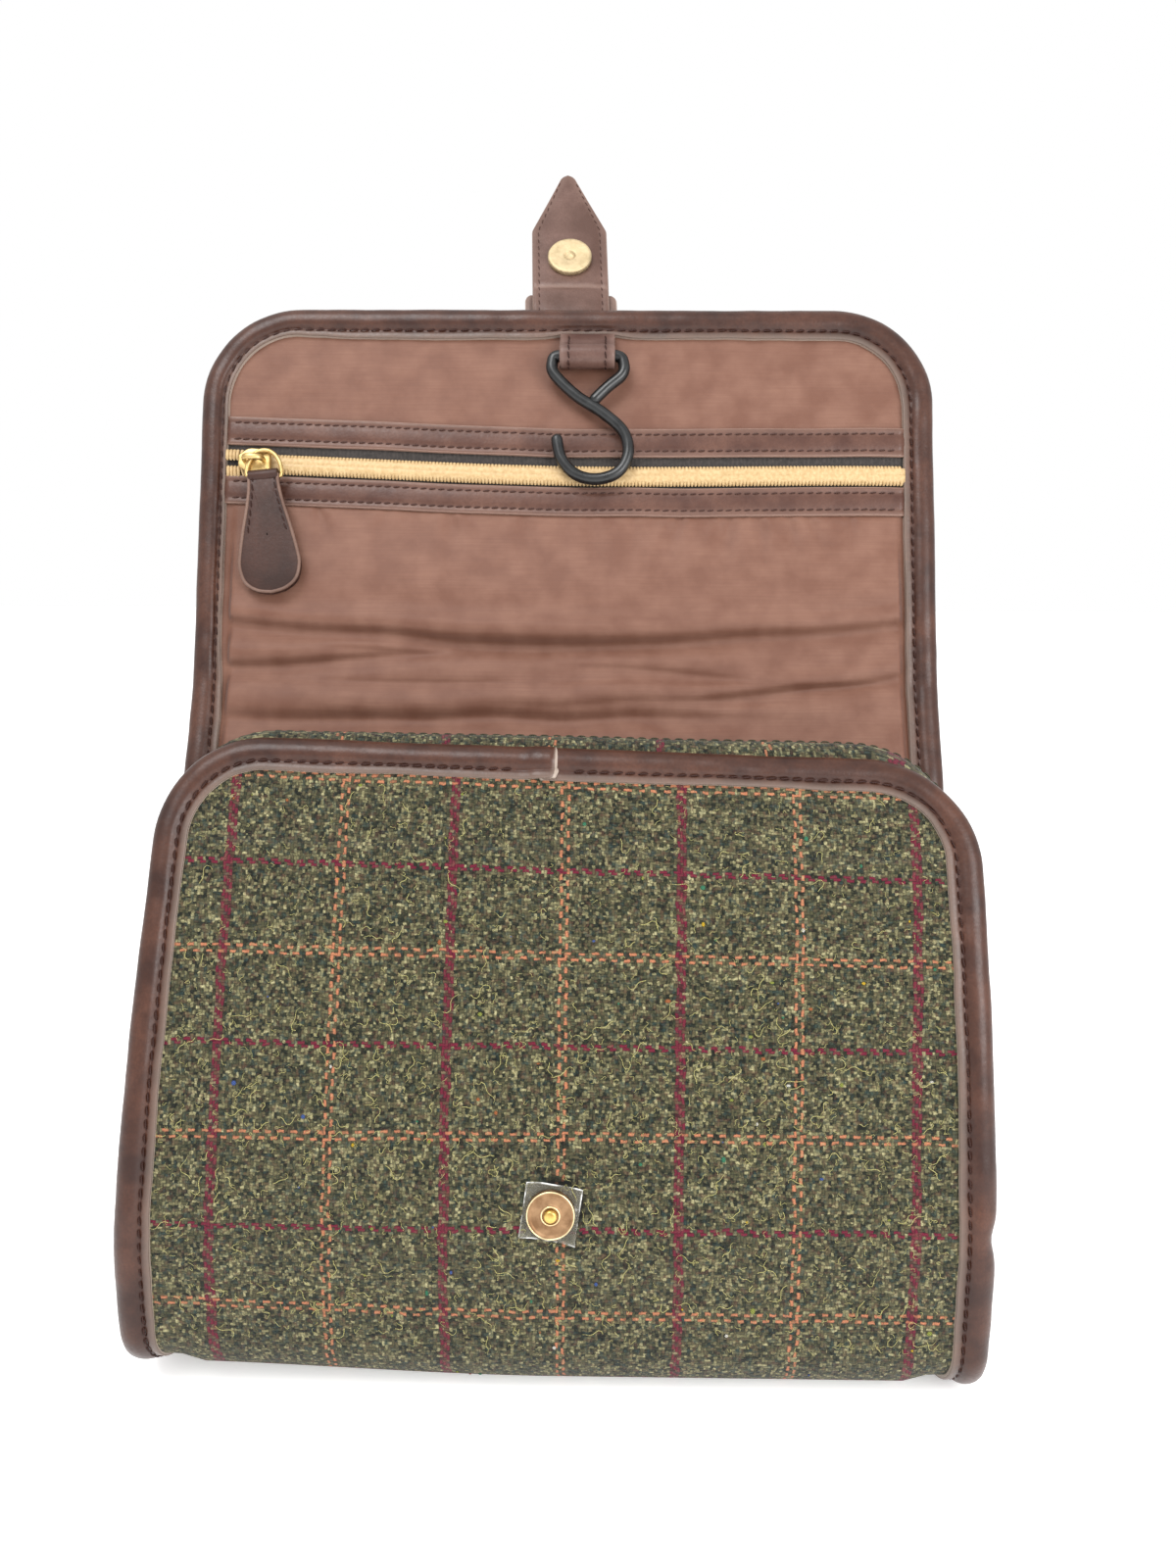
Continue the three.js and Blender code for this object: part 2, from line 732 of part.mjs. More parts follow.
// A strip across the flap's inside, between the binding's two inner legs
function flapStrip(top, width, depthTop, depthBottom, columns, rows = 1, crown = () => 0) {
  const edge = halfWidth - innerLeg - clearance;
  const xs = stepsBetween(-edge, edge, columns);
  const shares = stepsBetween(0, 1, rows);
  const face = (depth, lifted) => shares.map((share) => xs.map((across) => (
    sheetPoint(
      underFlapTop(top + share * width + sagAt(across)),
      across,
      depth + (lifted ? crown(share) : 0),
    )
  )));
  return wallBetween(face(depthTop, true), face(depthBottom, false));
}

const bandDepth = liningDepth + liningWall + clearance;
const coilDepth = liningDepth + tapeWall + clearance;
const coilCrown = coilDepth + pocketCoilHeight;

// A frame that stands on the flap's inner face: X across, Y up the flap, Z off the lining
function flapFrame(down, across, depth) {
  const along = underFlapTop(down);
  const origin = sheetPoint(along, across, depth);
  const { outward } = sideAt(along);
  const off = new THREE.Vector3(0, -outward.x, -outward.y);
  const right = new THREE.Vector3(1, 0, 0);
  const up = new THREE.Vector3().crossVectors(off, right);
  const frame = new THREE.Group();
  new THREE.Matrix4().makeBasis(right, up, off).setPosition(origin)
    .decompose(frame.position, frame.quaternion, frame.scale);
  bag.add(frame);
  return frame;
}

function place(mesh, frame) {
  frame.add(mesh);
  return mesh;
}

function coilBump(height) {
  return (share) => height * Math.sqrt(Math.max(1 - (2 * share - 1) ** 2, 0));
}

addPiece('outer_shell', makeOuterShell(), tweed);
addPiece('edge_binding', makeEdgeBinding(), leatherette);
addPiece('gusset_front', gussetStrip('front', frontSeamInset), tweed);
addPiece('gusset_back', gussetStrip('back', backSeamInset), tweed);
addPiece('main_zip_tape', ribbonOnArch(tapeWidth, tapeTop, tapeTop + tapeWall, 4), blackTape);
addPiece(
  'main_zip_coil',
  ribbonOnArch(mainCoilWidth, coilBottom - mainCoilHeight / 2, coilBottom, 4, (share) => (
    (mainCoilHeight / 2) * Math.sqrt(Math.max(1 - share * share, 0))
  )),
  goldCoil,
);
addPiece('flap_lining', makeFlapLining(), nylon);
addPiece('pocket_panel', makePocketPanel(), nylon);
const makeBand = (top) => flapStrip(top, bandWidth, bandDepth + bandWall, bandDepth, 10);
addPiece('zip_band_upper', makeBand(upperBandTop), leatherette);
addPiece('zip_band_lower', makeBand(lowerBandTop), leatherette);
const pocketTapeTop = upperBandTop + bandWidth / 2 + clearance;
const pocketTapeWidth = pocketTop - pocketTapeTop - clearance;
addPiece(
  'pocket_zip_tape',
  flapStrip(pocketTapeTop, pocketTapeWidth, liningDepth + tapeWall, liningDepth, 10),
  blackTape,
);
const coilTop = zipTop + (pocketZipGap - pocketCoilWidth) / 2 + pocketCoilDrop;
addPiece(
  'pocket_zip_coil',
  flapStrip(
    coilTop,
    pocketCoilWidth,
    coilDepth + pocketCoilHeight / 2,
    coilDepth,
    10,
    4,
    coilBump(pocketCoilHeight / 2),
  ),
  goldCoil,
);

// A flat plate with the given outline, its underside on the frame's plane
function plate(outline, thickness, curveSegments = 6) {
  return new THREE.ExtrudeGeometry(outline, { depth: thickness, bevelEnabled: false, curveSegments });
}

function roundTube(curve, diameter, steps, sides) {
  const section = new THREE.Shape();
  const ring = stepsBetween(0, 2 * Math.PI, sides).slice(0, -1);
  ring.forEach((angle, i) => {
    const x = (diameter / 2) * Math.cos(angle);
    const y = (diameter / 2) * Math.sin(angle);
    if (i === 0) {
      section.moveTo(x, y);
    } else {
      section.lineTo(x, y);
    }
  });
  section.closePath();
  return new THREE.ExtrudeGeometry(section, { steps, extrudePath: curve, bevelEnabled: false });
}

// The loop hangs from under the binding and holds the hook's top bar
const loopWall = 1.2;
const barBore = hookWire / 2 + hookClearance;
const loopOuter = barBore + loopWall;
const hookStandOff = coilCrown + clearance + hookWire / 2;
const barDown = innerLeg + loopDrop - loopOuter;

// Its side view: up the lining, round under the bar and up again, the two plies together at the top
function makeHookLoop() {
  const top = barDown - innerLeg - clearance;
  const face = (radius, plyGap) => {
    const turn = stepsBetween(-Math.PI, loopTurnEnd * Math.PI, 8).map((angle) => [
      radius * Math.cos(angle),
      radius * Math.sin(angle),
    ]);
    const topMiddle = -loopOuter + loopWall + clearance / 2;
    return [
      [topMiddle - plyGap, top],
      [topMiddle - plyGap, pliesMeet * top],
      ...turn,
      [topMiddle + plyGap, pliesMeet * top],
      [topMiddle + plyGap, top],
    ].map(([off, up]) => stepsBetween(-1, 1, 1).map((side) => (
      new THREE.Vector3((side * loopWidth) / 2, up, off)
    )));
  };
  return wallBetween(face(loopOuter, clearance / 2 + loopWall), face(barBore, clearance / 2));
}

// Bends of the hook's wire: shares of the hook's width and height, from the top bar's middle
const hookBends = [
  { side: 0.1, down: 0.35 },
  { side: 0.27, down: 0.235 },
  { side: 0.45, down: 0.12 },
  { side: 0.46, down: 0.04 },
  { side: 0.37, down: 0.0 },
  { side: 0.0, down: 0.0 },
  { side: -0.37, down: 0.0 },
  { side: -0.46, down: 0.04 },
  { side: -0.45, down: 0.12 },
  { side: -0.13, down: 0.3 },
  { side: 0.2, down: 0.43 },
  { side: 0.45, down: 0.57 },
  { side: 0.52, down: 0.73 },
  { side: 0.4, down: 0.87 },
  { side: 0.13, down: 0.925 },
  { side: -0.13, down: 0.89 },
  { side: -0.31, down: 0.77 },
  { side: -0.37, down: 0.6 },
];

function makeHook() {
  const points = hookBends.map(({ side, down }) => (
    new THREE.Vector3(side * hookWidth, -down * hookHeight, 0)
  ));
  const curve = new THREE.CatmullRomCurve3(points, false, 'centripetal');
  return roundTube(curve, hookWire, 38, 7);
}

const loopFrame = flapFrame(barDown, loopPlace, hookStandOff);
place(addPiece('hook_loop', makeHookLoop(), leatherette), loopFrame);
place(addPiece('s_hook', makeHook(), blackPlastic), loopFrame);

// Strap: its side view follows the outside of the flap, then leans further back
function strapSide(offset) {
  const start = sideAt(sheetLength - strapLap);
  const first = start.place.clone().addScaledVector(start.outward, offset);
  return sideWalk(first, 90 - upperFlapLean)
    .ahead(strapLap)
    .turn(strapBendRadius, upperFlapLean - strapLean)
    .ahead(strapLength - bendArc(strapBendRadius, strapLean - upperFlapLean)).path;
}

const strapUnder = clearance + bindingWall + clearance;

// Above the flap the strap strays a little to one side
const strayAt = (along) => strapStray * Math.max(0, (along - strapLap) / strapLength);

function strapSheet(offset, wall, from, to, halfWidthOf, rows) {
  const side = strapSide(offset);
  const length = side.getLength();
  const face = (depth) => rows.map((share) => {
    const along = lerp(from, to, share);
    const at = Math.min(along / length, 1);
    const middle = side.getPointAt(at);
    const direction = side.getTangentAt(at);
    const half = halfWidthOf(along);
    return stepsBetween(-1, 1, 2).map((across) => new THREE.Vector3(
      strapPlace + strayAt(along) + across * half,
      middle.x + direction.y * depth,
      middle.y - direction.x * depth,
    ));
  });
  return wallBetween(face(wall), face(0));
}

const strapTotal = strapLap + strapLength;
const strapHalf = (along) => {
  const toTip = strapTotal - along;
  return Math.max((strapWidth / 2) * Math.min(toTip / strapPointLength, 1), strapTipHalf);
};
const strapPoint = 1 - strapPointLength / strapTotal;
const strapBend = strapLap / strapTotal;
const strapRows = [0, ...stepsBetween(strapBend / 2, 1.5 * strapBend, 5), strapPoint, 1];
addPiece(
  'closure_strap',
  strapSheet(strapUnder, strapWall, 0, strapTotal, strapHalf, strapRows),
  leatherette,
);
addPiece(
  'strap_base',
  strapSheet(
    strapUnder + strapWall + clearance,
    strapBaseWall,
    0,
    strapLap + strapBaseRise,
    () => strapBaseWidth / 2,
    stepsBetween(0, 1, 6),
  ),
  leatherette,
);

// Magnetic snap: a flat ring with a raised rim; the front one has a pin, the strap's a hollow
function snapGeometry(diameter, pin) {
  const outer = diameter / 2;
  const well = snapWellShare * outer;
  const face = snapThickness - snapFaceDrop;
  const centre = pin ? snapThickness + snapPinRise : snapThickness - snapHollowDepth;
  const profile = [
    [0, 0],
    [outer, 0],
    [outer, snapThickness - snapBevel],
    [outer - snapBevel, snapThickness],
    [outer - snapRim, snapThickness],
    [outer - snapRim - snapFaceDrop, face],
    [well + snapBevel, face],
    [well, pin ? snapThickness : face - snapFaceDrop],
    [well - snapBevel, centre],
    [0, centre],
  ].map(([x, y]) => new THREE.Vector2(x, y));
  const geometry = new THREE.LatheGeometry(profile, 16);
  geometry.rotateX(Math.PI / 2);
  return geometry;
}

// A frame on the flat stretch of the front panel that carries the snap: X across, Y up it, Z off it
function snapFrameOn(above, below) {
  const [high, low] = [above, below].map((along) => sheetPoint(along, snapPlace, -clearance));
  const right = new THREE.Vector3(1, 0, 0);
  const up = high.clone().sub(low).setX(0).normalize();
  const off = new THREE.Vector3().crossVectors(right, up);
  const frame = new THREE.Group();
  new THREE.Matrix4().makeBasis(right, up, off).setPosition(high.lerp(low, 0.5))
    .decompose(frame.position, frame.quaternion, frame.scale);
  bag.add(frame);
  return frame;
}

const snapFrame = snapFrameOn(snapDrop - filmReach, snapDrop + filmReach);
const film = new THREE.BoxGeometry(filmSide, filmSide, filmWall);
film.translate(0, 0, filmWall / 2);
film.rotateZ(radians(-filmTurn));
place(addPiece('snap_film', film, clearFilm), snapFrame);
const frontSnap = snapGeometry(frontSnapDiameter, true);
frontSnap.translate(0, 0, filmWall + clearance);
place(addPiece('front_snap', frontSnap, gold), snapFrame);

const strapFace = strapSide(strapUnder);
const strapSnapAt = (strapLap + strapSnapRise) / strapFace.getLength();
const strapSnapPoint = strapFace.getPointAt(strapSnapAt);
const strapSnapTangent = strapFace.getTangentAt(strapSnapAt);
const strapSnap = addPiece('strap_snap', snapGeometry(strapSnapDiameter, false), paleGold);
const strapUp = new THREE.Vector3(0, strapSnapTangent.x, strapSnapTangent.y);
const strapOff = new THREE.Vector3(0, -strapSnapTangent.y, strapSnapTangent.x);
strapSnap.quaternion.setFromRotationMatrix(
  new THREE.Matrix4().makeBasis(new THREE.Vector3(1, 0, 0), strapUp, strapOff),
);
const strapSnapPlace = strapPlace + strayAt(strapLap + strapSnapRise);
strapSnap.position.set(strapSnapPlace, strapSnapPoint.x, strapSnapPoint.y)
  .addScaledVector(strapOff, clearance);

// Zip slider: a tapered body with a bail over it; X runs along the zip, Z off it
const sliderHalf = sliderLength / 2;
const bailHalf = bailSpan * sliderHalf;

function polygon(points, holes = []) {
  const shape = new THREE.Shape(points.map(([x, y]) => new THREE.Vector2(x, y)));
  holes.forEach((hole) => shape.holes.push(new THREE.Path(hole.map(([x, y]) => new THREE.Vector2(x, y)))));
  return shape;
}

function sliderGeometry() {
  const shoulder = sliderWidth / 2;
  const body = plate(polygon([
    [-sliderHalf, -sliderNose * shoulder],
    [-sliderTaper * sliderHalf, -shoulder],
    [sliderHalf, -shoulder],
    [sliderHalf, shoulder],
    [-sliderTaper * sliderHalf, shoulder],
    [-sliderHalf, sliderNose * shoulder],
  ]), sliderThickness);
  const legTop = bailLegShare * bailHeight;
  const inner = bailHalf - bailWire;
  const innerTop = legTop - rollShoulder * bailWire;
  const bail = polygon([
    [-bailHalf, -bailFoot],
    [bailHalf, -bailFoot],
    [bailHalf, legTop],
    [bailShoulder * bailHalf, bailHeight],
    [-bailShoulder * bailHalf, bailHeight],
    [-bailHalf, legTop],
  ], [[
    [-inner, 0],
    [-inner, innerTop],
    [-bailShoulder * inner, bailHeight - bailWire],
    [bailShoulder * inner, bailHeight - bailWire],
    [inner, innerTop],
    [inner, 0],
  ]]);
  const arch = new THREE.ExtrudeGeometry(bail, { depth: bailWidth, bevelEnabled: false });
  arch.translate(0, 0, -bailWidth / 2);
  arch.rotateX(Math.PI / 2);
  arch.translate(0, 0, sliderThickness);
  return joined([body, arch]);
}

// A closed tube round the given ring of points, which lie in one plane
function closedTube(points, diameter, sides) {
  const count = points.length;
  const positions = points.flatMap((point, i) => {
    const ahead = points[(i + 1) % count].clone().sub(points[(i + count - 1) % count]).normalize();
    const off = new THREE.Vector2(ahead.y, -ahead.x);
    return stepsBetween(0, 2 * Math.PI, sides).slice(0, -1).flatMap((angle) => {
      const out = (diameter / 2) * Math.cos(angle);
      return [point.x + off.x * out, point.y + off.y * out, (diameter / 2) * Math.sin(angle)];
    });
  });
  const index = points.flatMap((_, i) => stepsBetween(0, sides, sides).slice(0, -1).flatMap((j) => {
    const next = (i + 1) % count;
    const beside = (j + 1) % sides;
    const corners = [i * sides + j, next * sides + j, next * sides + beside, i * sides + beside];
    return [corners[0], corners[1], corners[2], corners[0], corners[2], corners[3]];
  }));
  const geometry = new THREE.BufferGeometry();
  geometry.setAttribute('position', new THREE.Float32BufferAttribute(positions, 3));
  geometry.setIndex(index);
  return facingOut(geometry);
}

const zipMiddle = zipTop + pocketZipGap / 2 + pocketCoilDrop + sagAt(pocketSliderPlace);
const pocketSliderFrame = flapFrame(zipMiddle, pocketSliderPlace, coilCrown + clearance);
place(addPiece('pocket_zip_slider', sliderGeometry(), gold), pocketSliderFrame);

// Ring round one leg of the bail: straight where the puller hangs on it, round above
const ringSpread = ringWidth / 2 - ringWire / 2;
const ringPoints = [
  ...stepsBetween(0, Math.PI, 10).map((angle) => (
    new THREE.Vector2(ringSpread * Math.cos(angle), (ringHeight - ringWire) * Math.sin(angle))
  )),
  new THREE.Vector2(-ringStraight * ringSpread, -ringDrop * ringHeight),
  new THREE.Vector2(ringStraight * ringSpread, -ringDrop * ringHeight),
];
const ringPlace = new THREE.Vector3(
  bailHalf + bailWire / 2,
  -ringHeight + bailWidth / 2 + 2 * ringWire + clearance,
  sliderThickness + clearance + ringWire,
);
const ring = closedTube(ringPoints, ringWire, 6);
place(addPiece('puller_ring', ring, gold), pocketSliderFrame).position.copy(ringPlace);

// Leatherette puller: a drop-shaped tab whose top is turned over the ring's straight side
function makePuller() {
  const bottom = pullerWidth / 2;
  const top = pullerTopWidth / 2;
  const waist = pullerWaist * pullerLength;
  const shape = new THREE.Shape();
  shape.moveTo(-top, 0);
  shape.lineTo(top, 0);
  shape.bezierCurveTo(top + pullerFlare, -waist, bottom, -1.5 * waist, bottom, -pullerLength + bottom);
  shape.absarc(0, -pullerLength + bottom, bottom, 0, -Math.PI, true);
  shape.bezierCurveTo(-bottom, -1.5 * waist, -top - pullerFlare, -waist, -top, 0);
  const tab = plate(shape, pullerWall, 8);
  const tunnelBore = ringWire / 2 + clearance;
  const tunnelOuter = tunnelBore + pullerTurnWall;
  const turn = new THREE.Shape();
  turn.absarc(0, 0, tunnelOuter, 0, 2 * Math.PI, false);
  const bore = new THREE.Path();
  bore.absarc(0, 0, tunnelBore, 0, 2 * Math.PI, true);
  turn.holes.push(bore);
  const tunnel = new THREE.ExtrudeGeometry(turn, { depth: 2 * top, bevelEnabled: false, curveSegments: 5 });
  tunnel.translate(0, 0, -top);
  tunnel.rotateY(Math.PI / 2);
  tunnel.translate(0, tunnelBore + tunnelSink * pullerTurnWall, tunnelOuter);
  return joined([tab, tunnel]);
}

const puller = place(addPiece('zip_puller', makePuller(), leatherette), pocketSliderFrame);
const tunnelRise = ringWire / 2 + clearance + tunnelSink * pullerTurnWall;
const tunnelStandOff = ringWire / 2 + clearance + pullerTurnWall;
puller.position.set(
  ringPlace.x,
  ringPlace.y - ringDrop * ringHeight - tunnelRise,
  ringPlace.z - tunnelStandOff,
);

// Main zip's slider on the left side of the gusset, and its pull
const leftStations = stations.filter((station) => station.front.across < 0 && station.top === 0);
const heightOf = (station) => sideAt(station.front.along).place.y;
const above = leftStations.findIndex((station) => heightOf(station) > mainSliderHeight);
const share = (mainSliderHeight - heightOf(leftStations[above - 1]))
  / (heightOf(leftStations[above]) - heightOf(leftStations[above - 1]));
const [lowArch, highArch] = [archOf(leftStations[above - 1]), archOf(leftStations[above])];
const zipPoint = (arch, under) => arch.at(arch.zipShare, under);
const overCoil = coilBottom - mainCoilHeight - clearance;
const mainSpot = zipPoint(lowArch, overCoil).lerp(zipPoint(highArch, overCoil), share);
const mainUnder = zipPoint(lowArch, coilBottom).lerp(zipPoint(highArch, coilBottom), share);
const mainAlong = zipPoint(highArch, overCoil).sub(zipPoint(lowArch, overCoil)).normalize();
const mainOff = mainSpot.clone().sub(mainUnder);
mainOff.addScaledVector(mainAlong, -mainOff.dot(mainAlong)).normalize();
const mainAcross = new THREE.Vector3().crossVectors(mainOff, mainAlong);
const mainFrame = new THREE.Group();
new THREE.Matrix4().makeBasis(mainAlong, mainAcross, mainOff).setPosition(mainSpot)
  .decompose(mainFrame.position, mainFrame.quaternion, mainFrame.scale);
bag.add(mainFrame);
place(addPiece('main_zip_slider', sliderGeometry(), gold), mainFrame);

// The pull's eye goes round the bail's lower leg, and the pull hangs down and outward
function makePull() {
  const eye = mainPullWidth / 2;
  const shape = new THREE.Shape();
  shape.absarc(0, 0, eye, -Math.PI / 2, Math.PI / 2, false);
  shape.lineTo(-mainPullLength + eye, eye);
  shape.absarc(-mainPullLength + eye, 0, eye, Math.PI / 2, 1.5 * Math.PI, false);
  const hole = new THREE.Path();
  hole.absarc(0, 0, eye - bailWire, 0, 2 * Math.PI, true);
  shape.holes.push(hole);
  const pull = plate(shape, mainPullWall, 5);
  return pull.translate(0, 0, -mainPullWall / 2);
}

const pull = place(addPiece('main_zip_pull', makePull(), gold), mainFrame);
pull.position.set(-bailHalf + bailWire / 2, 0, sliderThickness + pullSeat * bailHeight);
pull.rotation.y = radians(mainPullLift);

export default bag;
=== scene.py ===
"""Looks for the hanging toiletry bag. Sizes and places below are in millimetres, the scene is in metres."""

import math

import bmesh
import bpy
import numpy as np
from mathutils import Matrix, Vector


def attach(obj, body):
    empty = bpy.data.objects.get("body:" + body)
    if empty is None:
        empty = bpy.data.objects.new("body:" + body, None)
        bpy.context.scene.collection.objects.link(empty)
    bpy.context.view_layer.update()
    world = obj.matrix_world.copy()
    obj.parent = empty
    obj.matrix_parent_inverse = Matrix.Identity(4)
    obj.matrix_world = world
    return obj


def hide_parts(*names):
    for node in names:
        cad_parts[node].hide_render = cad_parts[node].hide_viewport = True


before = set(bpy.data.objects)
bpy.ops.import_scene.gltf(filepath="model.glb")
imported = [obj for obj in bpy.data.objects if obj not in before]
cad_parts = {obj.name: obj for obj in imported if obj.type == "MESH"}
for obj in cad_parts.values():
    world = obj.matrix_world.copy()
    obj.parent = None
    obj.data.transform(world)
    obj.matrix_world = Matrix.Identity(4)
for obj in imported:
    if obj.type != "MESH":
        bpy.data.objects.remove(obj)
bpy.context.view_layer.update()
MM = 0.001
UV_UNIT = 100

# Overall form, as in the part's source
BAG_WIDTH = 250
HALF_WIDTH = BAG_WIDTH / 2
BASE_DEPTH = 84
FRONT_HEIGHT = 191
TOP_SET_BACK = 49
FRONT_BEND, BACK_BEND = 20, 7
BACK_HEIGHT, BACK_LEAN = 168, 1.45
LOWER_FLAP, LOWER_LEAN = 38, 24
UPPER_FLAP, UPPER_LEAN = 131, 15.6
FOLD_RADIUS = 20
FRONT_CORNER, FLAP_CORNER = 31, 32
FRONT_SLUMP, LEFT_PULL = 7.2, 6.4
EDGE_LIFT, EDGE_LIFT_WIDTH, LIFTED_WIDTH = 2.0, 20, 13.3
LEFT_LIFT, LIFT_REACH = 4.0, 55
FRONT_SHAPE = [(1.0, 1.0), (0.962, 0.915), (0.8, 0.62), (0.58, 0.31), (0.32, 0.04), (0.18, 0.0)]
FRONT_DENTS = [
    (0.32, 0.04, 0.16, -1.6),
    (0.45, 0.2, 0.14, 1.0),
    (0.62, -0.3, 0.18, 1.2),
    (0.78, 0.4, 0.12, -1.1),
]

# Layers and trim
GAP = 0.3
SHELL_WALL, GUSSET_WALL, LINING_WALL = 2, 1.4, 1
INNER_LEG, FLANGE_INSET = 9, 1.5
LAP_PLACE, LAP_LENGTH = 1.2, 9
FRONT_SEAM, BACK_SEAM, BACK_SEAM_RADIUS, BACK_SEAM_DROP = 11.4, 11.6, 22, 10.6
CROWN_RISE, SIDE_BULGE, ZIP_GAP = 25.6, 11, 11
ZIP_SHARE_SIDE, ZIP_SHARE_TOP = 0.52, 0.66
BAND_TOP, BAND_WIDTH, ZIP_OPENING = 36.8, 10.1, 10.8
COIL_WIDTH, TOOTH_PITCH = 6.2, 1.2
ZIP_SAG, ZIP_TILT = 2.2, 3.9
FOLD_EASE = 0.6
LINING_DEPTH, LINING_HALF = SHELL_WALL + GAP, HALF_WIDTH - FLANGE_INSET
STITCH_PITCH = 3.9


def smooth(value, low, high):
    share = np.clip((value - low) / (high - low), 0, 1)
    return share * share * (3 - 2 * share)


def unit(vectors):
    return vectors / np.maximum(np.linalg.norm(vectors, axis=-1, keepdims=True), 1e-9)


def lumps(x, y, size, seed):
    """Smooth seeded noise from -1 to 1 with lumps of the given size."""
    lattice = np.random.default_rng(seed).uniform(-1, 1, (64, 64))
    x, y = np.asarray(x) / size, np.asarray(y) / size
    column, row = np.floor(x).astype(int), np.floor(y).astype(int)
    across, down = smooth(x - column, 0, 1), smooth(y - row, 0, 1)

    def pick(rows, columns):
        return lattice[rows % 64, columns % 64]

    upper = pick(row, column) * (1 - across) + pick(row, column + 1) * across
    lower = pick(row + 1, column) * (1 - across) + pick(row + 1, column + 1) * across
    return upper * (1 - down) + lower * down


def ripple(along, size, seed):
    """The same noise along one direction alone."""
    return lumps(along, 0 * along, size, seed)


def run_along(line):
    """Distances along a line from its first point."""
    return np.concatenate([[0], np.cumsum(np.linalg.norm(np.diff(line, axis=0), axis=1))])


def at_run(place, run, line):
    """Points of a line at the given distances along it."""
    return np.stack([np.interp(place, run, line[:, k]) for k in range(line.shape[1])], -1)


def side_by_side(first, second):
    """Two measures side by side at each point of a grid."""
    return np.stack(np.broadcast_arrays(first, second), -1)


def full_turn(count):
    return np.linspace(0, 2 * math.pi, count, endpoint=False)


def spline_through(points, steps=60):
    """Points of a smooth line through the given ones, each stretch in even steps."""
    ends = [points[0], *points, points[-1]]
    line = []
    for first, start, end, last in zip(ends, ends[1:], ends[2:], ends[3:]):
        first, start, end, last = (np.array(p, float) for p in (first, start, end, last))
        for t in np.linspace(0, 1, steps, endpoint=False):
            line.append(0.5 * (
                2 * start + (end - first) * t
                + (2 * first - 5 * start + 4 * end - last) * t * t
                + (3 * start - first - 3 * end + last) * t ** 3
            ))
    return [*line, np.array(points[-1], float)]


def side_view():
    """The sheet's outer face in the side view, and the distances along it of its named places."""
    front = -BASE_DEPTH / 2
    line = spline_through(
        [(front + TOP_SET_BACK * back, FRONT_HEIGHT * up) for up, back in FRONT_SHAPE]
        + [(front, FRONT_BEND)]
    )
    marks = {"front_run": len(line) - 1}
    angle = -math.pi / 2

    def ahead(length, mark):
        line.append(line[-1] + length * np.array([math.cos(angle), math.sin(angle)]))
        marks[mark] = len(line) - 1

    def turn(radius, degrees, mark):
        nonlocal angle
        side = math.copysign(math.pi / 2, degrees)
        centre = line[-1] + radius * np.array([math.cos(angle + side), math.sin(angle + side)])
        for step in np.linspace(0, math.radians(degrees), 33)[1:]:
            at = angle - side + step
            line.append(centre + radius * np.array([math.cos(at), math.sin(at)]))
        angle += math.radians(degrees)
        marks[mark] = len(line) - 1

    first_bend, second_bend = LOWER_LEAN + BACK_LEAN, LOWER_LEAN - UPPER_LEAN
    first_loss = FOLD_RADIUS * math.tan(math.radians(first_bend / 2))
    second_loss = FOLD_RADIUS * math.tan(math.radians(second_bend / 2))
    turn(FRONT_BEND, 90, "base_start")
    ahead(BASE_DEPTH - FRONT_BEND - BACK_BEND, "base_end")
    turn(BACK_BEND, 90 + BACK_LEAN, "back_start")
    ahead(BACK_HEIGHT - BACK_BEND - first_loss, "first_fold")
    turn(FOLD_RADIUS, -first_bend, "lower_start")
    ahead(LOWER_FLAP - first_loss - second_loss, "second_fold")
    turn(FOLD_RADIUS, second_bend, "upper_start")
    ahead(UPPER_FLAP - second_loss, "end")
    line = np.array(line)
    run = run_along(line)
    heading = unit(np.gradient(line, axis=0))
    return line, run, heading, {name: run[i] for name, i in marks.items()}


LINE, RUN, HEADING, AT = side_view()
LENGTH = AT["end"]


def dent_at(along, across):
    edge = smooth(HALF_WIDTH - np.abs(across), 12, 40) * smooth(along, 12, 40)
    edge = edge * (1 - smooth(along, 0.85 * AT["front_run"], AT["front_run"]))
    total = 0.5 * lumps(across, along, 34, 5) + 0.25 * lumps(across, along, 15, 6)
    for down, side, reach, depth in FRONT_DENTS:
        off = ((along / FRONT_HEIGHT - down) ** 2 + (across / BAG_WIDTH - side) ** 2) / reach ** 2
        total = total + depth * np.exp(-off)
    return edge * total


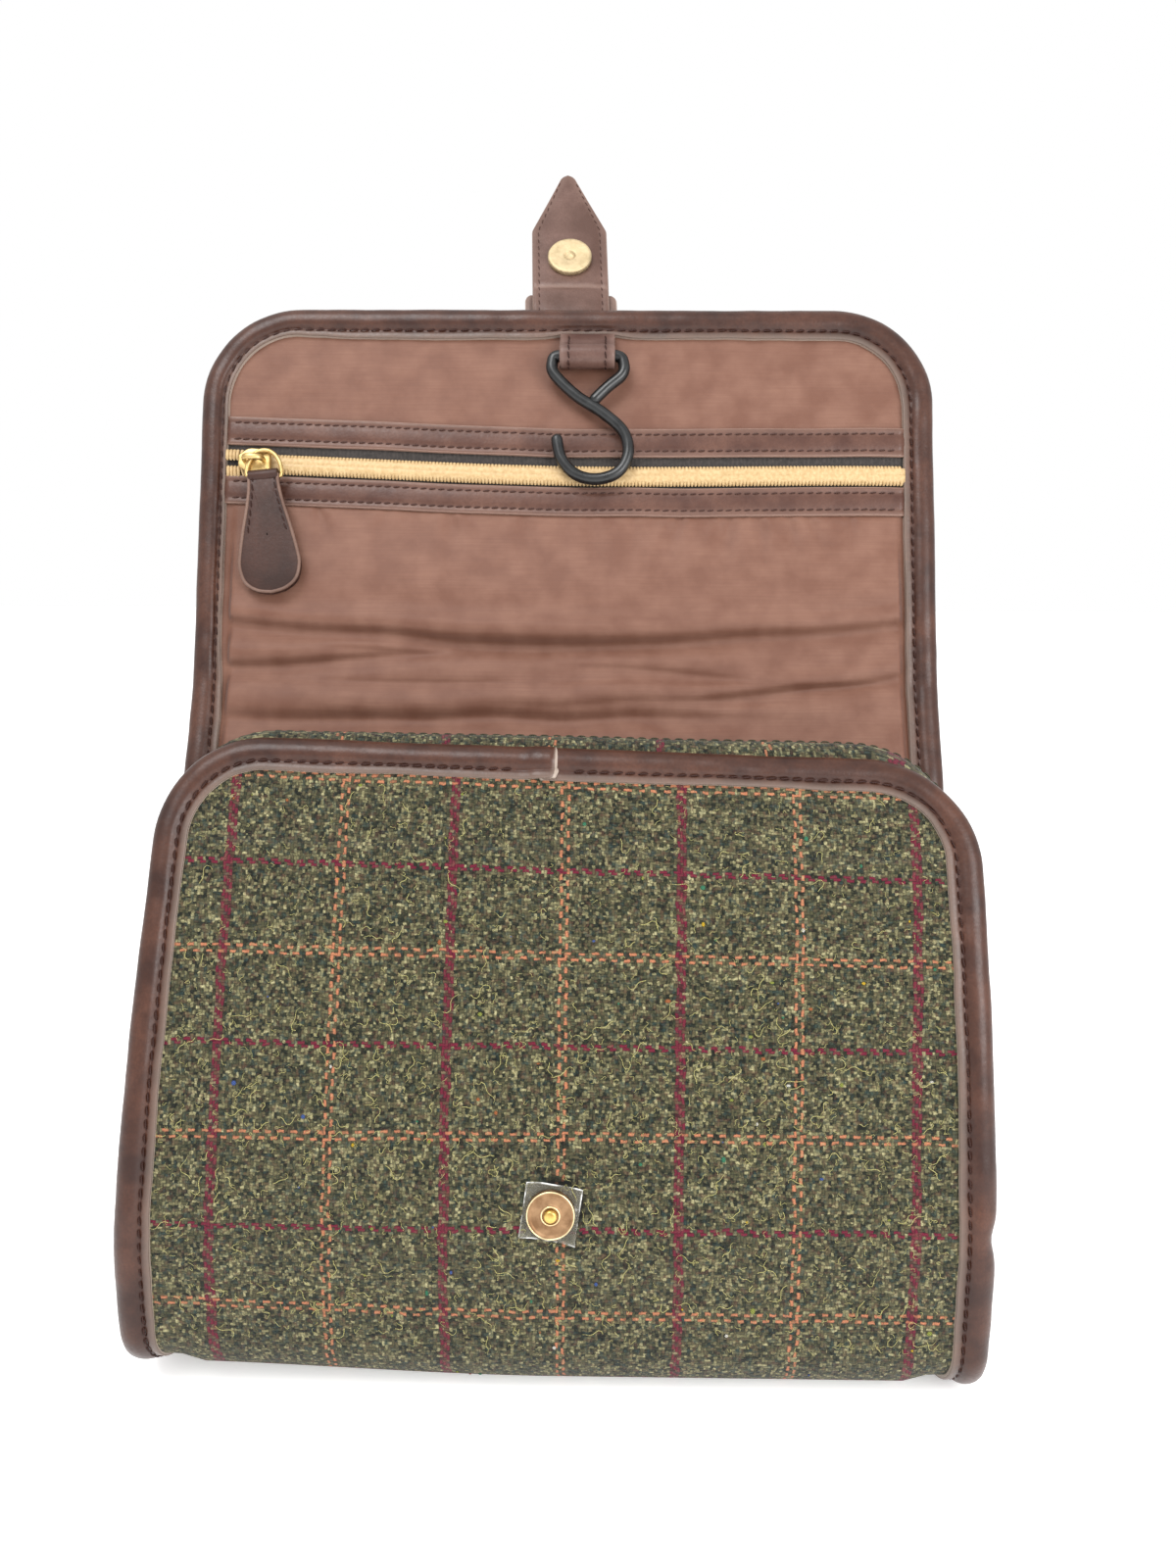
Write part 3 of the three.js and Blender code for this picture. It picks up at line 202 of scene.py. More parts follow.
def sheet_points(along, across, depth):
    """Points of the bag: distance along the sheet, place across it, depth under its outer face."""
    along, across, depth = np.broadcast_arrays(*(np.asarray(v, float) for v in (along, across, depth)))
    inside = np.clip(along, 0, LENGTH)
    place = at_run(inside, RUN, LINE)
    ahead = unit(at_run(inside, RUN, HEADING))
    from_edge = HALF_WIDTH - np.abs(across)
    near_edge = np.clip((EDGE_LIFT_WIDTH - from_edge) / (EDGE_LIFT_WIDTH - LIFTED_WIDTH), 0, 1)
    on_base = smooth(along, AT["front_run"], AT["base_start"] - FRONT_BEND / 2)
    on_base = on_base * (1 - smooth(along, AT["base_end"] + BACK_BEND / 2, AT["back_start"]))
    push = dent_at(along, across) - EDGE_LIFT * near_edge * on_base - depth
    beyond = along - inside
    slump = FRONT_SLUMP * (across / BAG_WIDTH + 0.5) * (1 - smooth(along, 0, 0.7 * FRONT_HEIGHT))
    pull = LEFT_PULL * np.maximum(-across / HALF_WIDTH, 0) * (1 - smooth(along, 0, 0.9 * FRONT_HEIGHT))
    lift = LEFT_LIFT * smooth(-across, 0, HALF_WIDTH)
    lift = lift * smooth(along, AT["front_run"] - LIFT_REACH, AT["front_run"])
    lift = lift * (1 - smooth(along, AT["base_start"], AT["base_start"] + LIFT_REACH))
    return np.stack([
        across + pull,
        place[..., 0] + ahead[..., 0] * beyond + ahead[..., 1] * push,
        place[..., 1] + ahead[..., 1] * beyond - ahead[..., 0] * push - slump + lift,
    ], -1)


def half_width_at(along):
    def round_end(radius, from_end):
        rise = np.clip(radius - from_end, 0, radius)
        return HALF_WIDTH - radius + np.sqrt(radius * radius - rise * rise)
    return np.minimum(round_end(FRONT_CORNER, along), round_end(FLAP_CORNER, LENGTH - along))


# Mesh helpers: all points are in millimetres

def mesh_piece(name, points, faces, material, slot, uv=None, body="bag", node=None):
    """A piece of the scene that rides on a body, and stands for a CAD node if one is named."""
    mesh = bpy.data.meshes.new(name)
    mesh.from_pydata((np.asarray(points).reshape(-1, 3) * MM).tolist(), [], np.asarray(faces).tolist())
    if uv is not None:
        corners = np.empty(len(mesh.loops), int)
        mesh.loops.foreach_get("vertex_index", corners)
        layer = mesh.uv_layers.new(name="cloth")
        layer.data.foreach_set("uv", (np.asarray(uv).reshape(-1, 2)[corners] / UV_UNIT).ravel())
    shape = bmesh.new()
    shape.from_mesh(mesh)
    bmesh.ops.recalc_face_normals(shape, faces=shape.faces)
    shape.to_mesh(mesh)
    shape.free()
    mesh.polygons.foreach_set("use_smooth", [True] * len(mesh.polygons))
    mesh.materials.append(material)
    mesh.update()
    piece = bpy.data.objects.new(name, mesh)
    bpy.context.scene.collection.objects.link(piece)
    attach(piece, body)
    if node:
        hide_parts(node)
    return piece


def grid_faces(rows, columns, first=0, round_columns=False):
    """Quads of a grid of points; with round_columns its last column joins its first."""
    row = np.arange(rows - 1)[:, None]
    column = np.arange(columns if round_columns else columns - 1)[None]
    beside = (column + 1) % columns
    quads = [row * columns + column, row * columns + beside, (row + 1) * columns + beside,
             (row + 1) * columns + column]
    return np.stack(np.broadcast_arrays(*quads), -1).reshape(-1, 4) + first


def wall_faces(rows, columns):
    """Quads of a closed thin wall between two grids of points, the front one first."""
    count = rows * columns
    front, back = grid_faces(rows, columns), grid_faces(rows, columns, count)[:, ::-1]
    index = np.arange(count).reshape(rows, columns)
    rim = np.concatenate([index[0, :-1], index[:-1, -1], index[-1, :0:-1], index[:0:-1, 0]])
    after = np.roll(rim, -1)
    sides = np.stack([after, rim, rim + count, after + count], -1)
    return np.concatenate([front, back, sides])


def wall_piece(name, front, back, uv, material, slot, **more):
    rows, columns = front.shape[:2]
    points = np.concatenate([front.reshape(-1, 3), back.reshape(-1, 3)])
    both = None if uv is None else np.concatenate([uv.reshape(-1, 2)] * 2)
    return mesh_piece(name, points, wall_faces(rows, columns), material, slot, uv=both, **more)


def stamp(template, origins, axes):
    """Copies a template (points, quads) to each origin, turned by its three axes."""
    points, faces = template
    placed = origins[:, None] + np.einsum("pk,nkj->npj", points, axes)
    quads = np.asarray(faces)[None] + (np.arange(len(origins)) * len(points))[:, None, None]
    return placed.reshape(-1, 3), quads.reshape(-1, quads.shape[-1])


def tubes(paths, radii, sides, away, closed=False):
    """Round tubes along paths of equally many points; radii may taper, away is any direction off them."""
    paths = np.asarray(paths, float)
    if closed:
        ahead = unit(np.roll(paths, -1, 1) - np.roll(paths, 1, 1))
    else:
        ahead = unit(np.gradient(paths, axis=1))
    side = unit(np.cross(ahead, np.broadcast_to(away, ahead.shape)))
    up = np.cross(side, ahead)
    radii = np.broadcast_to(radii, paths.shape[:2])[..., None, None]
    turn = full_turn(sides)[:, None]
    ring = side[:, :, None] * np.cos(turn) + up[:, :, None] * np.sin(turn)
    points = paths[:, :, None] + ring * radii
    count, rows = paths.shape[:2]
    if closed:
        points = np.concatenate([points, points[:, :1]], 1)
        rows += 1
    one = grid_faces(rows, sides, round_columns=True)
    faces = one[None] + (np.arange(count) * rows * sides)[:, None, None]
    return points.reshape(-1, 3), faces.reshape(-1, 4)


def together(*parts):
    """One set of points and quads from several."""
    first, points, faces = 0, [], []
    for part_points, part_faces in parts:
        points.append(part_points)
        faces.append(np.asarray(part_faces) + first)
        first += len(part_points)
    return np.concatenate(points), np.concatenate(faces)


def evenly(line, above, pitch, start=0.5, wander=0.0, seed=1):
    """Places at an even pitch along a line, with axes: ahead, sideways, off the surface."""
    run = run_along(line)
    at = (np.arange(int(run[-1] // pitch)) + start) * pitch
    at = at + wander * np.random.default_rng(seed).uniform(-1, 1, len(at))
    place, off = at_run(at, run, line), at_run(at, run, above - line)
    ahead = unit(at_run(at, run, np.gradient(line, run, axis=0)))
    side = unit(np.cross(off, ahead))
    off = np.cross(ahead, side)
    return place, np.stack([ahead, side, off], 1)


def stitch_template(length, radius):
    """One sewn stitch: a thread that comes up, lies on the surface and goes down again."""
    share = np.linspace(-1, 1, 7)
    path = np.stack([share * length / 2, 0.08 * length * share, radius * (1.1 - 1.9 * share ** 4)], -1)
    return tubes(path[None], radius * (1 - 0.25 * share[None] ** 2), 6, (0, 0, 1))


def stitches(line, above, length=2.9, pitch=STITCH_PITCH, radius=0.28, seed=1):
    return stamp(stitch_template(length, radius), *evenly(line, above, pitch, wander=0.12, seed=seed))


# Material helpers

class Graph:
    """One material, put together from its patterns, tones and bumps."""

    def __init__(self, name, **principled):
        self.material = bpy.data.materials.new(name)
        self.material.use_nodes = True
        self.nodes = self.material.node_tree.nodes
        self.links = self.material.node_tree.links
        self.shader = self.nodes["Principled BSDF"]
        for socket, value in principled.items():
            self.shader.inputs[socket.replace("_", " ")].default_value = value
        self.uv = self.nodes.new("ShaderNodeUVMap")
        self.uv.uv_map = "cloth"
        self.place = self.nodes.new("ShaderNodeTexCoord").outputs["Object"]

    def node(self, kind, inputs=(), **settings):
        made = self.nodes.new("ShaderNode" + kind)
        for key, value in settings.items():
            setattr(made, key, value)
        for key, value in dict(inputs).items():
            self.put(made.inputs[key], value)
        return made

    def put(self, socket, value):
        if isinstance(value, bpy.types.NodeSocket):
            self.links.new(value, socket)
        elif value is not None:
            socket.default_value = value

    def math(self, operation, a, b=None, c=None, clamp=False):
        inputs = {i: v for i, v in enumerate((a, b, c)) if v is not None}
        return self.node("Math", inputs, operation=operation, use_clamp=clamp).outputs[0]

    def plus(self, a, b, clamp=False):
        return self.math("ADD", a, b, clamp=clamp)

    def minus(self, a, b):
        return self.math("SUBTRACT", a, b)

    def times(self, a, b):
        return self.math("MULTIPLY", a, b)

    def vector(self, operation, *values, output="Vector"):
        return self.node("VectorMath", dict(enumerate(values)), operation=operation).outputs[output]

    def cloth_place(self):
        """The place on the flat cloth in millimetres; the UV map holds it in tenths of a metre."""
        return self.vector("MULTIPLY", self.uv.outputs[0], (UV_UNIT, UV_UNIT, UV_UNIT))

    def mix(self, factor, a, b, blend="MIX"):
        made = self.node("Mix", data_type="RGBA", blend_type=blend)
        for index, value in ((0, factor), (6, a), (7, b)):
            self.put(made.inputs[index], value)
        return made.outputs[2]

    def noise(self, scale, vector=None, detail=2.0, rough=0.5, output="Fac"):
        inputs = {"Scale": scale, "Detail": detail, "Roughness": rough, "Vector": vector or self.place}
        return self.node("TexNoise", inputs).outputs[output]

    def cells(self, scale):
        inputs = {"Scale": scale, "Vector": self.place}
        return self.node("TexVoronoi", inputs, feature="SMOOTH_F1").outputs["Distance"]

    def ramp(self, value, stops):
        made = self.node("ValToRGB", {"Fac": value})
        while len(made.color_ramp.elements) < len(stops):
            made.color_ramp.elements.new(0.5)
        for element, (at, color) in zip(made.color_ramp.elements, stops):
            element.position, element.color = at, color
        return made.outputs[0]

    def between(self, value, low, high, out_low=0.0, out_high=1.0):
        inputs = {"Value": value, 1: low, 2: high, 3: out_low, 4: out_high}
        return self.node("MapRange", inputs).outputs[0]

    def join(self, x, y, z=0.0):
        return self.node("CombineXYZ", {"X": x, "Y": y, "Z": z}).outputs[0]

    def split(self, vector):
        return self.node("SeparateXYZ", {"Vector": vector}).outputs

    def bump(self, height, distance, strength=1.0, under=None):
        inputs = {"Height": height, "Distance": distance * MM, "Strength": strength, "Normal": under}
        return self.node("Bump", inputs).outputs[0]

    def finish(self, color=None, roughness=None, normal=None):
        for socket, value in (("Base Color", color), ("Roughness", roughness), ("Normal", normal)):
            self.put(self.shader.inputs[socket], value)
        return self.material


def color(red, green, blue, share=0.62):
    """A colour given as it looks on screen, 0 to 255, for a surface that gets more light than plain white."""
    screen = np.array([red, green, blue]) / 255
    return (*(np.where(screen > 0.04, ((screen + 0.055) / 1.055) ** 2.4, screen / 12.92) * share).tolist(), 1)


# The windowpane check in flat cloth millimetres: its repeat, its yarns and the places of its lines
CHECK_ACROSS, CHECK_DOWN = 67.8, 53.2
WARP_YARNS, WEFT_YARNS, TWILL = 72, 56, 4
ORANGE_ACROSS, ORANGE_DOWN = 2.3, 9.9
# Painted shadow of the front snap: the cloth is darkened in a ring a little above the snap and to its right
SNAP_SHADOW_AT, SNAP_SHADOW_INNER, SNAP_SHADOW_OUTER = (1.6, 136.2, 0.0), 7.2, 9.6
WOOL_STOPS = [
    (0.0, color(13, 16, 13)), (0.2, color(36, 40, 30)), (0.36, color(62, 63, 44)), (0.5, color(91, 90, 63)),
    (0.6, color(76, 66, 49)), (0.72, color(114, 111, 79)), (0.86, color(144, 138, 100)),
    (1.0, color(200, 192, 146)),
]
RUST_FIBRES, TEAL_FIBRES, PAINTED_SNAP_SHADOW = color(112, 78, 62), color(58, 84, 82), color(10, 10, 8)
ORANGE_YARN = color(158, 92, 62), color(232, 156, 116)
BURGUNDY_YARN = color(70, 12, 32), color(146, 34, 66)


def tweed_material():
    """Olive wool in a two over, two under twill, with burgundy stripes and pairs of single orange yarns."""
    g = Graph("tweed", Specular_IOR_Level=0.06, Sheen_Weight=0.1, Sheen_Roughness=0.6)
    flat = g.cloth_place()
    strayed = flat
    for scale, reach in ((0.12, 2.0), (1.3, 0.75), (3.2, 0.35)):
        shift = g.vector("ADD", g.noise(scale, flat, 2.0, output="Color"), (-0.5, -0.5, -0.5))
        strayed = g.vector("MULTIPLY_ADD", shift, (reach, reach, 0.0), strayed)
    x, y, _ = g.split(strayed)

    def yarns(value, first, repeat, count):
        """Yarn numbers from the middle of the orange pair, and how round each one is at a point."""
        place = g.times(g.minus(value, first), count / repeat)
        number = g.math("ROUND", place)
        return number, g.math("COSINE", g.times(g.minus(place, number), math.pi))

    def from_pair(number, count, middle=0.0):
        return g.math("ABSOLUTE", g.math("WRAP", g.minus(number, middle), count / 2, -count / 2))

    warp, warp_round = yarns(x, ORANGE_ACROSS, CHECK_ACROSS, WARP_YARNS)
    weft, weft_round = yarns(y, ORANGE_DOWN, CHECK_DOWN, WEFT_YARNS)
    over = g.math("LESS_THAN", g.math("FRACT", g.times(g.minus(warp, weft), 1 / TWILL)), 0.45)
    under = g.minus(1.0, over)
    orange_warp = g.math("COMPARE", from_pair(warp, WARP_YARNS), 1.0, 0.3)
    orange_weft = g.math("COMPARE", from_pair(weft, WEFT_YARNS), 1.0, 0.3)
    red_warp = g.math("GREATER_THAN", from_pair(warp, WARP_YARNS), WARP_YARNS / 2 - 1.3)
    red_weft = g.math("GREATER_THAN", from_pair(weft, WEFT_YARNS, 0.5), WEFT_YARNS / 2 - 0.7)

    def spun(number, other_way, turn):
        """A random value for each stretch of each yarn."""
        stretch = g.math("FLOOR", g.math("MULTIPLY_ADD", other_way, 0.8, g.times(number, 0.37)))
        place = g.join(number, stretch, turn)
        return g.node("TexWhiteNoise", {"Vector": place}, noise_dimensions="3D").outputs["Value"]

    pick = g.mix(over, g.join(spun(weft, x, 1.0), 0.0), g.join(spun(warp, y, 2.0), 0.0))
    pick = g.split(pick)[0]
    fibre = g.noise(4.6, flat, 4.0, 0.75)
    patch = g.noise(0.14, flat, 3.0, 0.6)
    clump = g.between(g.noise(0.8, flat, 3.0, 0.7), 0.3, 0.7, -0.13, 0.13)
    value = g.math("MULTIPLY_ADD", pick, 0.76, g.between(fibre, 0.25, 0.75, -0.1, 0.34))
    value = g.plus(g.plus(value, clump), g.between(patch, 0.3, 0.7, -0.09, 0.09), clamp=True)
    ground = g.ramp(value, WOOL_STOPS)
    red_part, _, blue_part = g.split(g.noise(0.5, flat, 3.0, 0.65, output="Color"))
    for part, fibres in ((red_part, RUST_FIBRES), (blue_part, TEAL_FIBRES)):
        ground = g.mix(g.between(part, 0.52, 0.68, 0.0, 0.5), ground, fibres)
    shown = g.between(g.noise(0.7, flat, 3.0, 0.65), 0.34, 0.54, 0.35, 0.95)
    light_fibre = g.between(fibre, 0.35, 0.65)
    orange = g.plus(g.times(over, orange_warp), g.times(under, orange_weft), clamp=True)
    tone = g.mix(g.times(orange, shown), ground, g.mix(light_fibre, *ORANGE_YARN))
    seen_warp = g.times(g.between(over, 0.0, 1.0, 0.3, 0.95), red_warp)
    red = g.plus(seen_warp, g.times(under, red_weft), clamp=True)
    red_shown = g.between(shown, 0.35, 0.95, 0.65, 0.96)
    tone = g.mix(g.times(red, red_shown), tone, g.mix(light_fibre, *BURGUNDY_YARN))
    profile = g.plus(g.times(over, warp_round), g.times(under, weft_round))
    # Painted shade and highlight: each yarn is darkened towards its edges and lightened along its middle
    shade = g.between(profile, 0.0, 1.0, 0.5, 1.16)
    tone = g.mix(1.0, tone, g.join(shade, shade, shade), "MULTIPLY")
    # Painted shadow: darken the cloth in a ring round a point a little above the snap and to its right
    from_snap = g.vector("DISTANCE", flat, SNAP_SHADOW_AT, output="Value")
    tone = g.mix(g.between(from_snap, SNAP_SHADOW_INNER, SNAP_SHADOW_OUTER, 0.85, 0.0), tone, PAINTED_SNAP_SHADOW)
    height = g.plus(g.times(profile, 0.8), g.times(fibre, 1.5))
    return g.finish(tone, g.between(fibre, 0.3, 0.7, 0.85, 0.98), g.bump(height, 0.14, 0.9))


def leather_material(name, dark, light, rough, cut_edge=None, coat=0.1, crease=None):
    """Coated fabric with a fine pressed grain. Its raw edge shows where UV v is low, and a bend at a UV u."""
    g = Graph(name, Specular_IOR_Level=0.24, Coat_Weight=coat, Coat_Roughness=0.3)
    wear = g.noise(70, detail=4.0, rough=0.6)
    tone = g.mix(g.between(wear, 0.35, 0.68), dark, light)
    grain = g.cells(1500)
    fine = g.noise(900, detail=3.0)
    tone = g.mix(g.between(grain, 0.25, 0.75, 0.0, 0.35), tone, dark)
    if cut_edge:
        u, v, _ = g.split(g.uv.outputs[0])
        from_edge = g.plus(v, g.times(g.noise(600), 0.002))
        tone = g.mix(g.between(from_edge, 0.034, 0.01, 0.0, 0.3), tone, cut_edge)
        tone = g.mix(g.between(from_edge, 0.0058, 0.0048), tone, cut_edge)
    if crease:
        off = g.math("ABSOLUTE", g.minus(u, g.math("MULTIPLY_ADD", g.noise(90), 0.02, crease)))
        tone = g.mix(g.between(off, 0.012, 0.002, 0.0, 0.6), tone, cut_edge)
    normal = g.bump(grain, 0.08, 0.5, g.bump(fine, 0.05, 0.5, g.bump(wear, 1.0, 0.35)))
    return g.finish(tone, g.between(fine, 0.3, 0.7, rough - 0.07, rough + 0.1), normal)


NYLON_YARN = 0.42


def nylon_material():
    """Thin brown taffeta: a fine weave with a slight two-coloured shine."""
    g = Graph("nylon_lining", Specular_IOR_Level=0.2, Sheen_Weight=0.12, Sheen_Roughness=0.4)
    flat = g.cloth_place()
    x, y, _ = g.split(flat)
    warp, weft = (g.math("SINE", g.times(way, 2 * math.pi / NYLON_YARN)) for way in (x, y))
    weave = g.times(warp, weft)
    crush = g.noise(0.09, flat, 3.0, 0.5)
    slub = g.noise(1.0, g.join(g.times(x, 0.05), g.times(y, 1.6)), 3.0)
    tone = g.mix(g.between(crush, 0.35, 0.66), color(130, 89, 72), color(150, 109, 91))
    tone = g.mix(g.between(slub, 0.35, 0.7, 0.0, 0.3), tone, color(120, 82, 68))
    facing = g.node("LayerWeight", {"Blend": 0.35}).outputs["Facing"]
    tone = g.mix(g.between(facing, 0.3, 0.85, 0.0, 0.7), tone, color(84, 52, 46))
    tone = g.mix(g.between(weave, -1.0, 1.0, 0.0, 0.14), tone, color(98, 64, 56))
    normal = g.bump(weave, 0.05, 0.35, g.bump(slub, 0.08, 0.3, g.bump(crush, 1.2, 0.3)))
    return g.finish(tone, g.between(crush, 0.3, 0.7, 0.42, 0.54), normal)


def woven_material(name, dark, light, scale, rough):
    g = Graph(name, Specular_IOR_Level=0.3, Sheen_Weight=0.1)
    weave = g.node("TexWave", {"Scale": scale, "Distortion": 1.2, "Vector": g.place}).outputs["Fac"]
    tone = g.mix(g.between(g.times(weave, g.noise(900)), 0.1, 0.6), dark, light)
    return g.finish(tone, rough, g.bump(weave, 0.12, 0.6))


def metal_material(name, dark, light, rough, brushed=0.0):
    """Worn plated metal, from its dark and light screen colours."""
    g = Graph(name, Metallic=1.0)
    spots = g.noise(260, detail=4.0, rough=0.65)
    tone = g.mix(g.between(spots, 0.36, 0.66), color(*dark, 1.0), color(*light, 1.0))
    scratches = g.bump(g.noise(1400, detail=2.0), 0.02 + brushed, 0.5)
    return g.finish(tone, g.between(spots, 0.3, 0.7, rough - 0.06, rough + 0.1), scratches)


def plastic_material(name, dark, light, rough, scale=240, shine=0.25):
    g = Graph(name, Specular_IOR_Level=shine)
    spots = g.noise(scale, detail=3.0)
    return g.finish(g.mix(g.between(spots, 0.35, 0.65), dark, light),
                    g.between(spots, 0.3, 0.7, rough - 0.05, rough + 0.08), g.bump(spots, 0.06, 0.4))


def film_material():
    """Clear film: a thin grey haze with pale streaks, partly scuffs and partly painted glints, and a painted
    highlight along its cut rim, where UV is low.
    """
    g = Graph("clear_film", Specular_IOR_Level=0.6)
    u, v, _ = g.split(g.uv.outputs[0])
    from_edge = g.math("MINIMUM", u, v)
    dust = g.noise(160, detail=2.0)
    # Pale streaks: partly scuffs on the film, partly painted glints
    scuff_and_glint = g.between(g.noise(260, detail=4.0, rough=0.6), 0.58, 0.72, 0.0, 0.5)
    # Painted highlight along the cut rim, broken up in places
    broken = g.between(g.noise(330, detail=2.0), 0.4, 0.6, 0.0, 0.8)
    pale = g.math("MAXIMUM", scuff_and_glint, g.times(g.between(from_edge, 0.005, 0.001), broken))
    g.put(g.shader.inputs["Alpha"], g.plus(pale, 0.3, clamp=True))
    tone = g.mix(pale, color(150, 146, 130), color(250, 250, 248, 1.0))
    return g.finish(tone, g.between(dust, 0.3, 0.7, 0.15, 0.3), g.bump(dust, 0.2, 0.4))


def thread_material(name, dark, light):
    g = Graph(name, Specular_IOR_Level=0.2)
    ply = g.node("TexWave", {"Scale": 900.0, "Distortion": 0.6, "Vector": g.place},
                 bands_direction="DIAGONAL").outputs["Fac"]
    return g.finish(g.mix(g.between(ply, 0.2, 0.8), dark, light), 0.62, g.bump(ply, 0.05, 0.6))


tweed = tweed_material()
binding_leather = leather_material("leatherette", color(58, 31, 22), color(98, 61, 46), 0.38,
                                   cut_edge=color(192, 174, 160), coat=0.2)
band_leather = leather_material("leatherette_bands", color(84, 52, 42), color(116, 80, 66), 0.42,
                                cut_edge=color(158, 126, 112))
puller_leather = leather_material("leatherette_puller", color(54, 32, 25), color(80, 50, 40), 0.5)
rim_leather = leather_material("leatherette_rim", color(116, 88, 76), color(146, 116, 102), 0.5)
loop_leather = leather_material("leatherette_loop", color(92, 62, 54), color(122, 92, 82), 0.4,
                                cut_edge=color(186, 156, 144))
# The strap and its base are the bag's leatherette, painted paler for the haze of light flaring round them
strap_leather = leather_material("leatherette_strap", color(96, 68, 58), color(126, 96, 86), 0.45,
                                 cut_edge=color(150, 122, 110), crease=0.57)
base_leather = leather_material("leatherette_base", color(104, 76, 66), color(140, 110, 98), 0.45,
                                cut_edge=color(186, 162, 150))
nylon = nylon_material()
black_tape = woven_material("zip_tape", color(44, 40, 38), color(92, 84, 80), 700.0, 0.78)
gold_coil = plastic_material("zip_coil", color(206, 172, 122, 0.66), color(228, 196, 146, 0.66), 0.4, 900)
gold = metal_material("gold_metal", (180, 150, 94), (220, 194, 138), 0.42)
copper_gold = metal_material("copper_gold_metal", (122, 92, 66), (164, 132, 100), 0.5, 0.03)
# The snap's own metal, painted paler and shinier for its rims as a highlight
rim_highlight_copper = metal_material("bright_copper_gold", (214, 186, 140), (248, 228, 184), 0.3)
pin_gold = metal_material("pin_gold", (190, 156, 84), (228, 198, 120), 0.34)
pale_gold = metal_material("pale_gold_metal", (178, 160, 126), (206, 188, 154), 0.6, 0.01)
black_plastic = plastic_material("black_plastic", color(13, 15, 16), color(30, 32, 33), 0.3, shine=0.5)
film = film_material()
brown_thread = thread_material("brown_thread", color(40, 22, 19), color(80, 50, 42))
band_thread = thread_material("band_thread", color(66, 42, 36), color(96, 68, 60))
olive_thread = thread_material("olive_thread", color(52, 50, 38), color(88, 84, 62))
wool_hair = thread_material("wool_hair", color(170, 164, 96), color(226, 218, 150))


# Tweed sheet, its binding and the gusset
STEP = 2.0
CHECK_SPREAD, SPREAD_REACH = 0.035, 140


def outer_shell():
    """The tweed sheet, with finer rows at its two rounded ends and the check fanning out up the front."""
    corner = 1 - np.cos(np.linspace(0, math.pi / 2, 14))
    rows = np.arange(FRONT_CORNER, LENGTH - FLAP_CORNER, STEP)
    along = np.unique(np.concatenate([corner * FRONT_CORNER, rows, LENGTH - corner * FLAP_CORNER]))[:, None]
    across = np.linspace(-1, 1, 111) * half_width_at(along)
    spread = 1 + CHECK_SPREAD * (1 - smooth(along, 0, SPREAD_REACH))
    flat = side_by_side(across / spread, along)
    wall_piece("shell_tweed", sheet_points(along, across, 0), sheet_points(along, across, SHELL_WALL), flat,
               tweed, "tweed", node="outer_shell")


def edge_path():
    """Stations round the sheet's edge, from the lap to the lap: along, across, and the way off the cloth."""
    stations = []

    def straight(start, end, off):
        count = max(int(np.linalg.norm(np.subtract(end, start)) / STEP), 1)
        for share in np.arange(count) / count:
            stations.append((*np.add(start, np.multiply(share, np.subtract(end, start))), *off))

    def corner(sideways, middle, radius, end, turn):
        for angle in np.linspace(*turn, 24, endpoint=False):
            off = end * math.cos(angle), sideways * math.sin(angle)
            start = radius if end < 0 else LENGTH - radius
            stations.append((start + radius * off[0], sideways * middle + radius * off[1], *off))

    front_middle, flap_middle = HALF_WIDTH - FRONT_CORNER, HALF_WIDTH - FLAP_CORNER
    quarter = (0, math.pi / 2)
    straight((0, LAP_PLACE - LAP_LENGTH), (0, front_middle), (-1, 0))
    corner(1, front_middle, FRONT_CORNER, -1, quarter)
    straight((FRONT_CORNER, HALF_WIDTH), (LENGTH - FLAP_CORNER, HALF_WIDTH), (0, 1))
    corner(1, flap_middle, FLAP_CORNER, 1, quarter[::-1])
    straight((LENGTH, flap_middle), (LENGTH, -flap_middle), (1, 0))
    corner(-1, flap_middle, FLAP_CORNER, 1, quarter)
    straight((LENGTH - FLAP_CORNER, -HALF_WIDTH), (FRONT_CORNER, -HALF_WIDTH), (0, -1))
    corner(-1, front_middle, FRONT_CORNER, -1, quarter[::-1])
    straight((0, -front_middle), (0, LAP_PLACE), (-1, 0))
    stations.append((0, LAP_PLACE, -1, 0))
    return np.array(stations).T


STITCH_INSET, CLOSED_END = 5.9, 0.15
LEFT_LIP_SHORTER, LAP_THICKER, LAP_SHORTER = 1.4, 1.4, 4.2
LOOP_PLACE, LOOP_REACH, LOOP_LIFT = 7.2, 13, 1.5
KINK_PLACE, KINK_REACH, KINK_SIZE = 144, 4.5, 1.3
# The binding's section, front lip to inner lip: inset from the cloth's edge and depth under its face
BINDING_SECTION = np.array([
    (8.7, -0.25), (8.72, -0.75), (8.6, -1.05), (8.2, -1.18), (7.3, -1.12), (6.6, -0.98), (6.1, -0.7),
    (5.8, -0.66), (5.45, -0.95), (4.9, -1.5), (4.0, -2.0), (2.8, -2.25), (1.4, -2.2), (0.1, -1.8),
    (-1.1, -1.05), (-1.85, 0.0), (-2.15, 1.2), (-2.15, 2.5), (-1.85, 3.7), (-1.1, 4.75), (0.1, 5.5),
    (1.4, 5.9), (2.8, 5.95), (4.0, 5.7), (4.9, 5.2), (5.45, 4.65), (5.8, 4.4), (6.1, 4.42), (6.6, 4.68),
    (7.3, 4.82), (8.2, 4.88), (8.6, 4.75), (8.72, 4.45), (8.7, 3.95),
])
BINDING_MIDDLE = (2.0, 1.85)


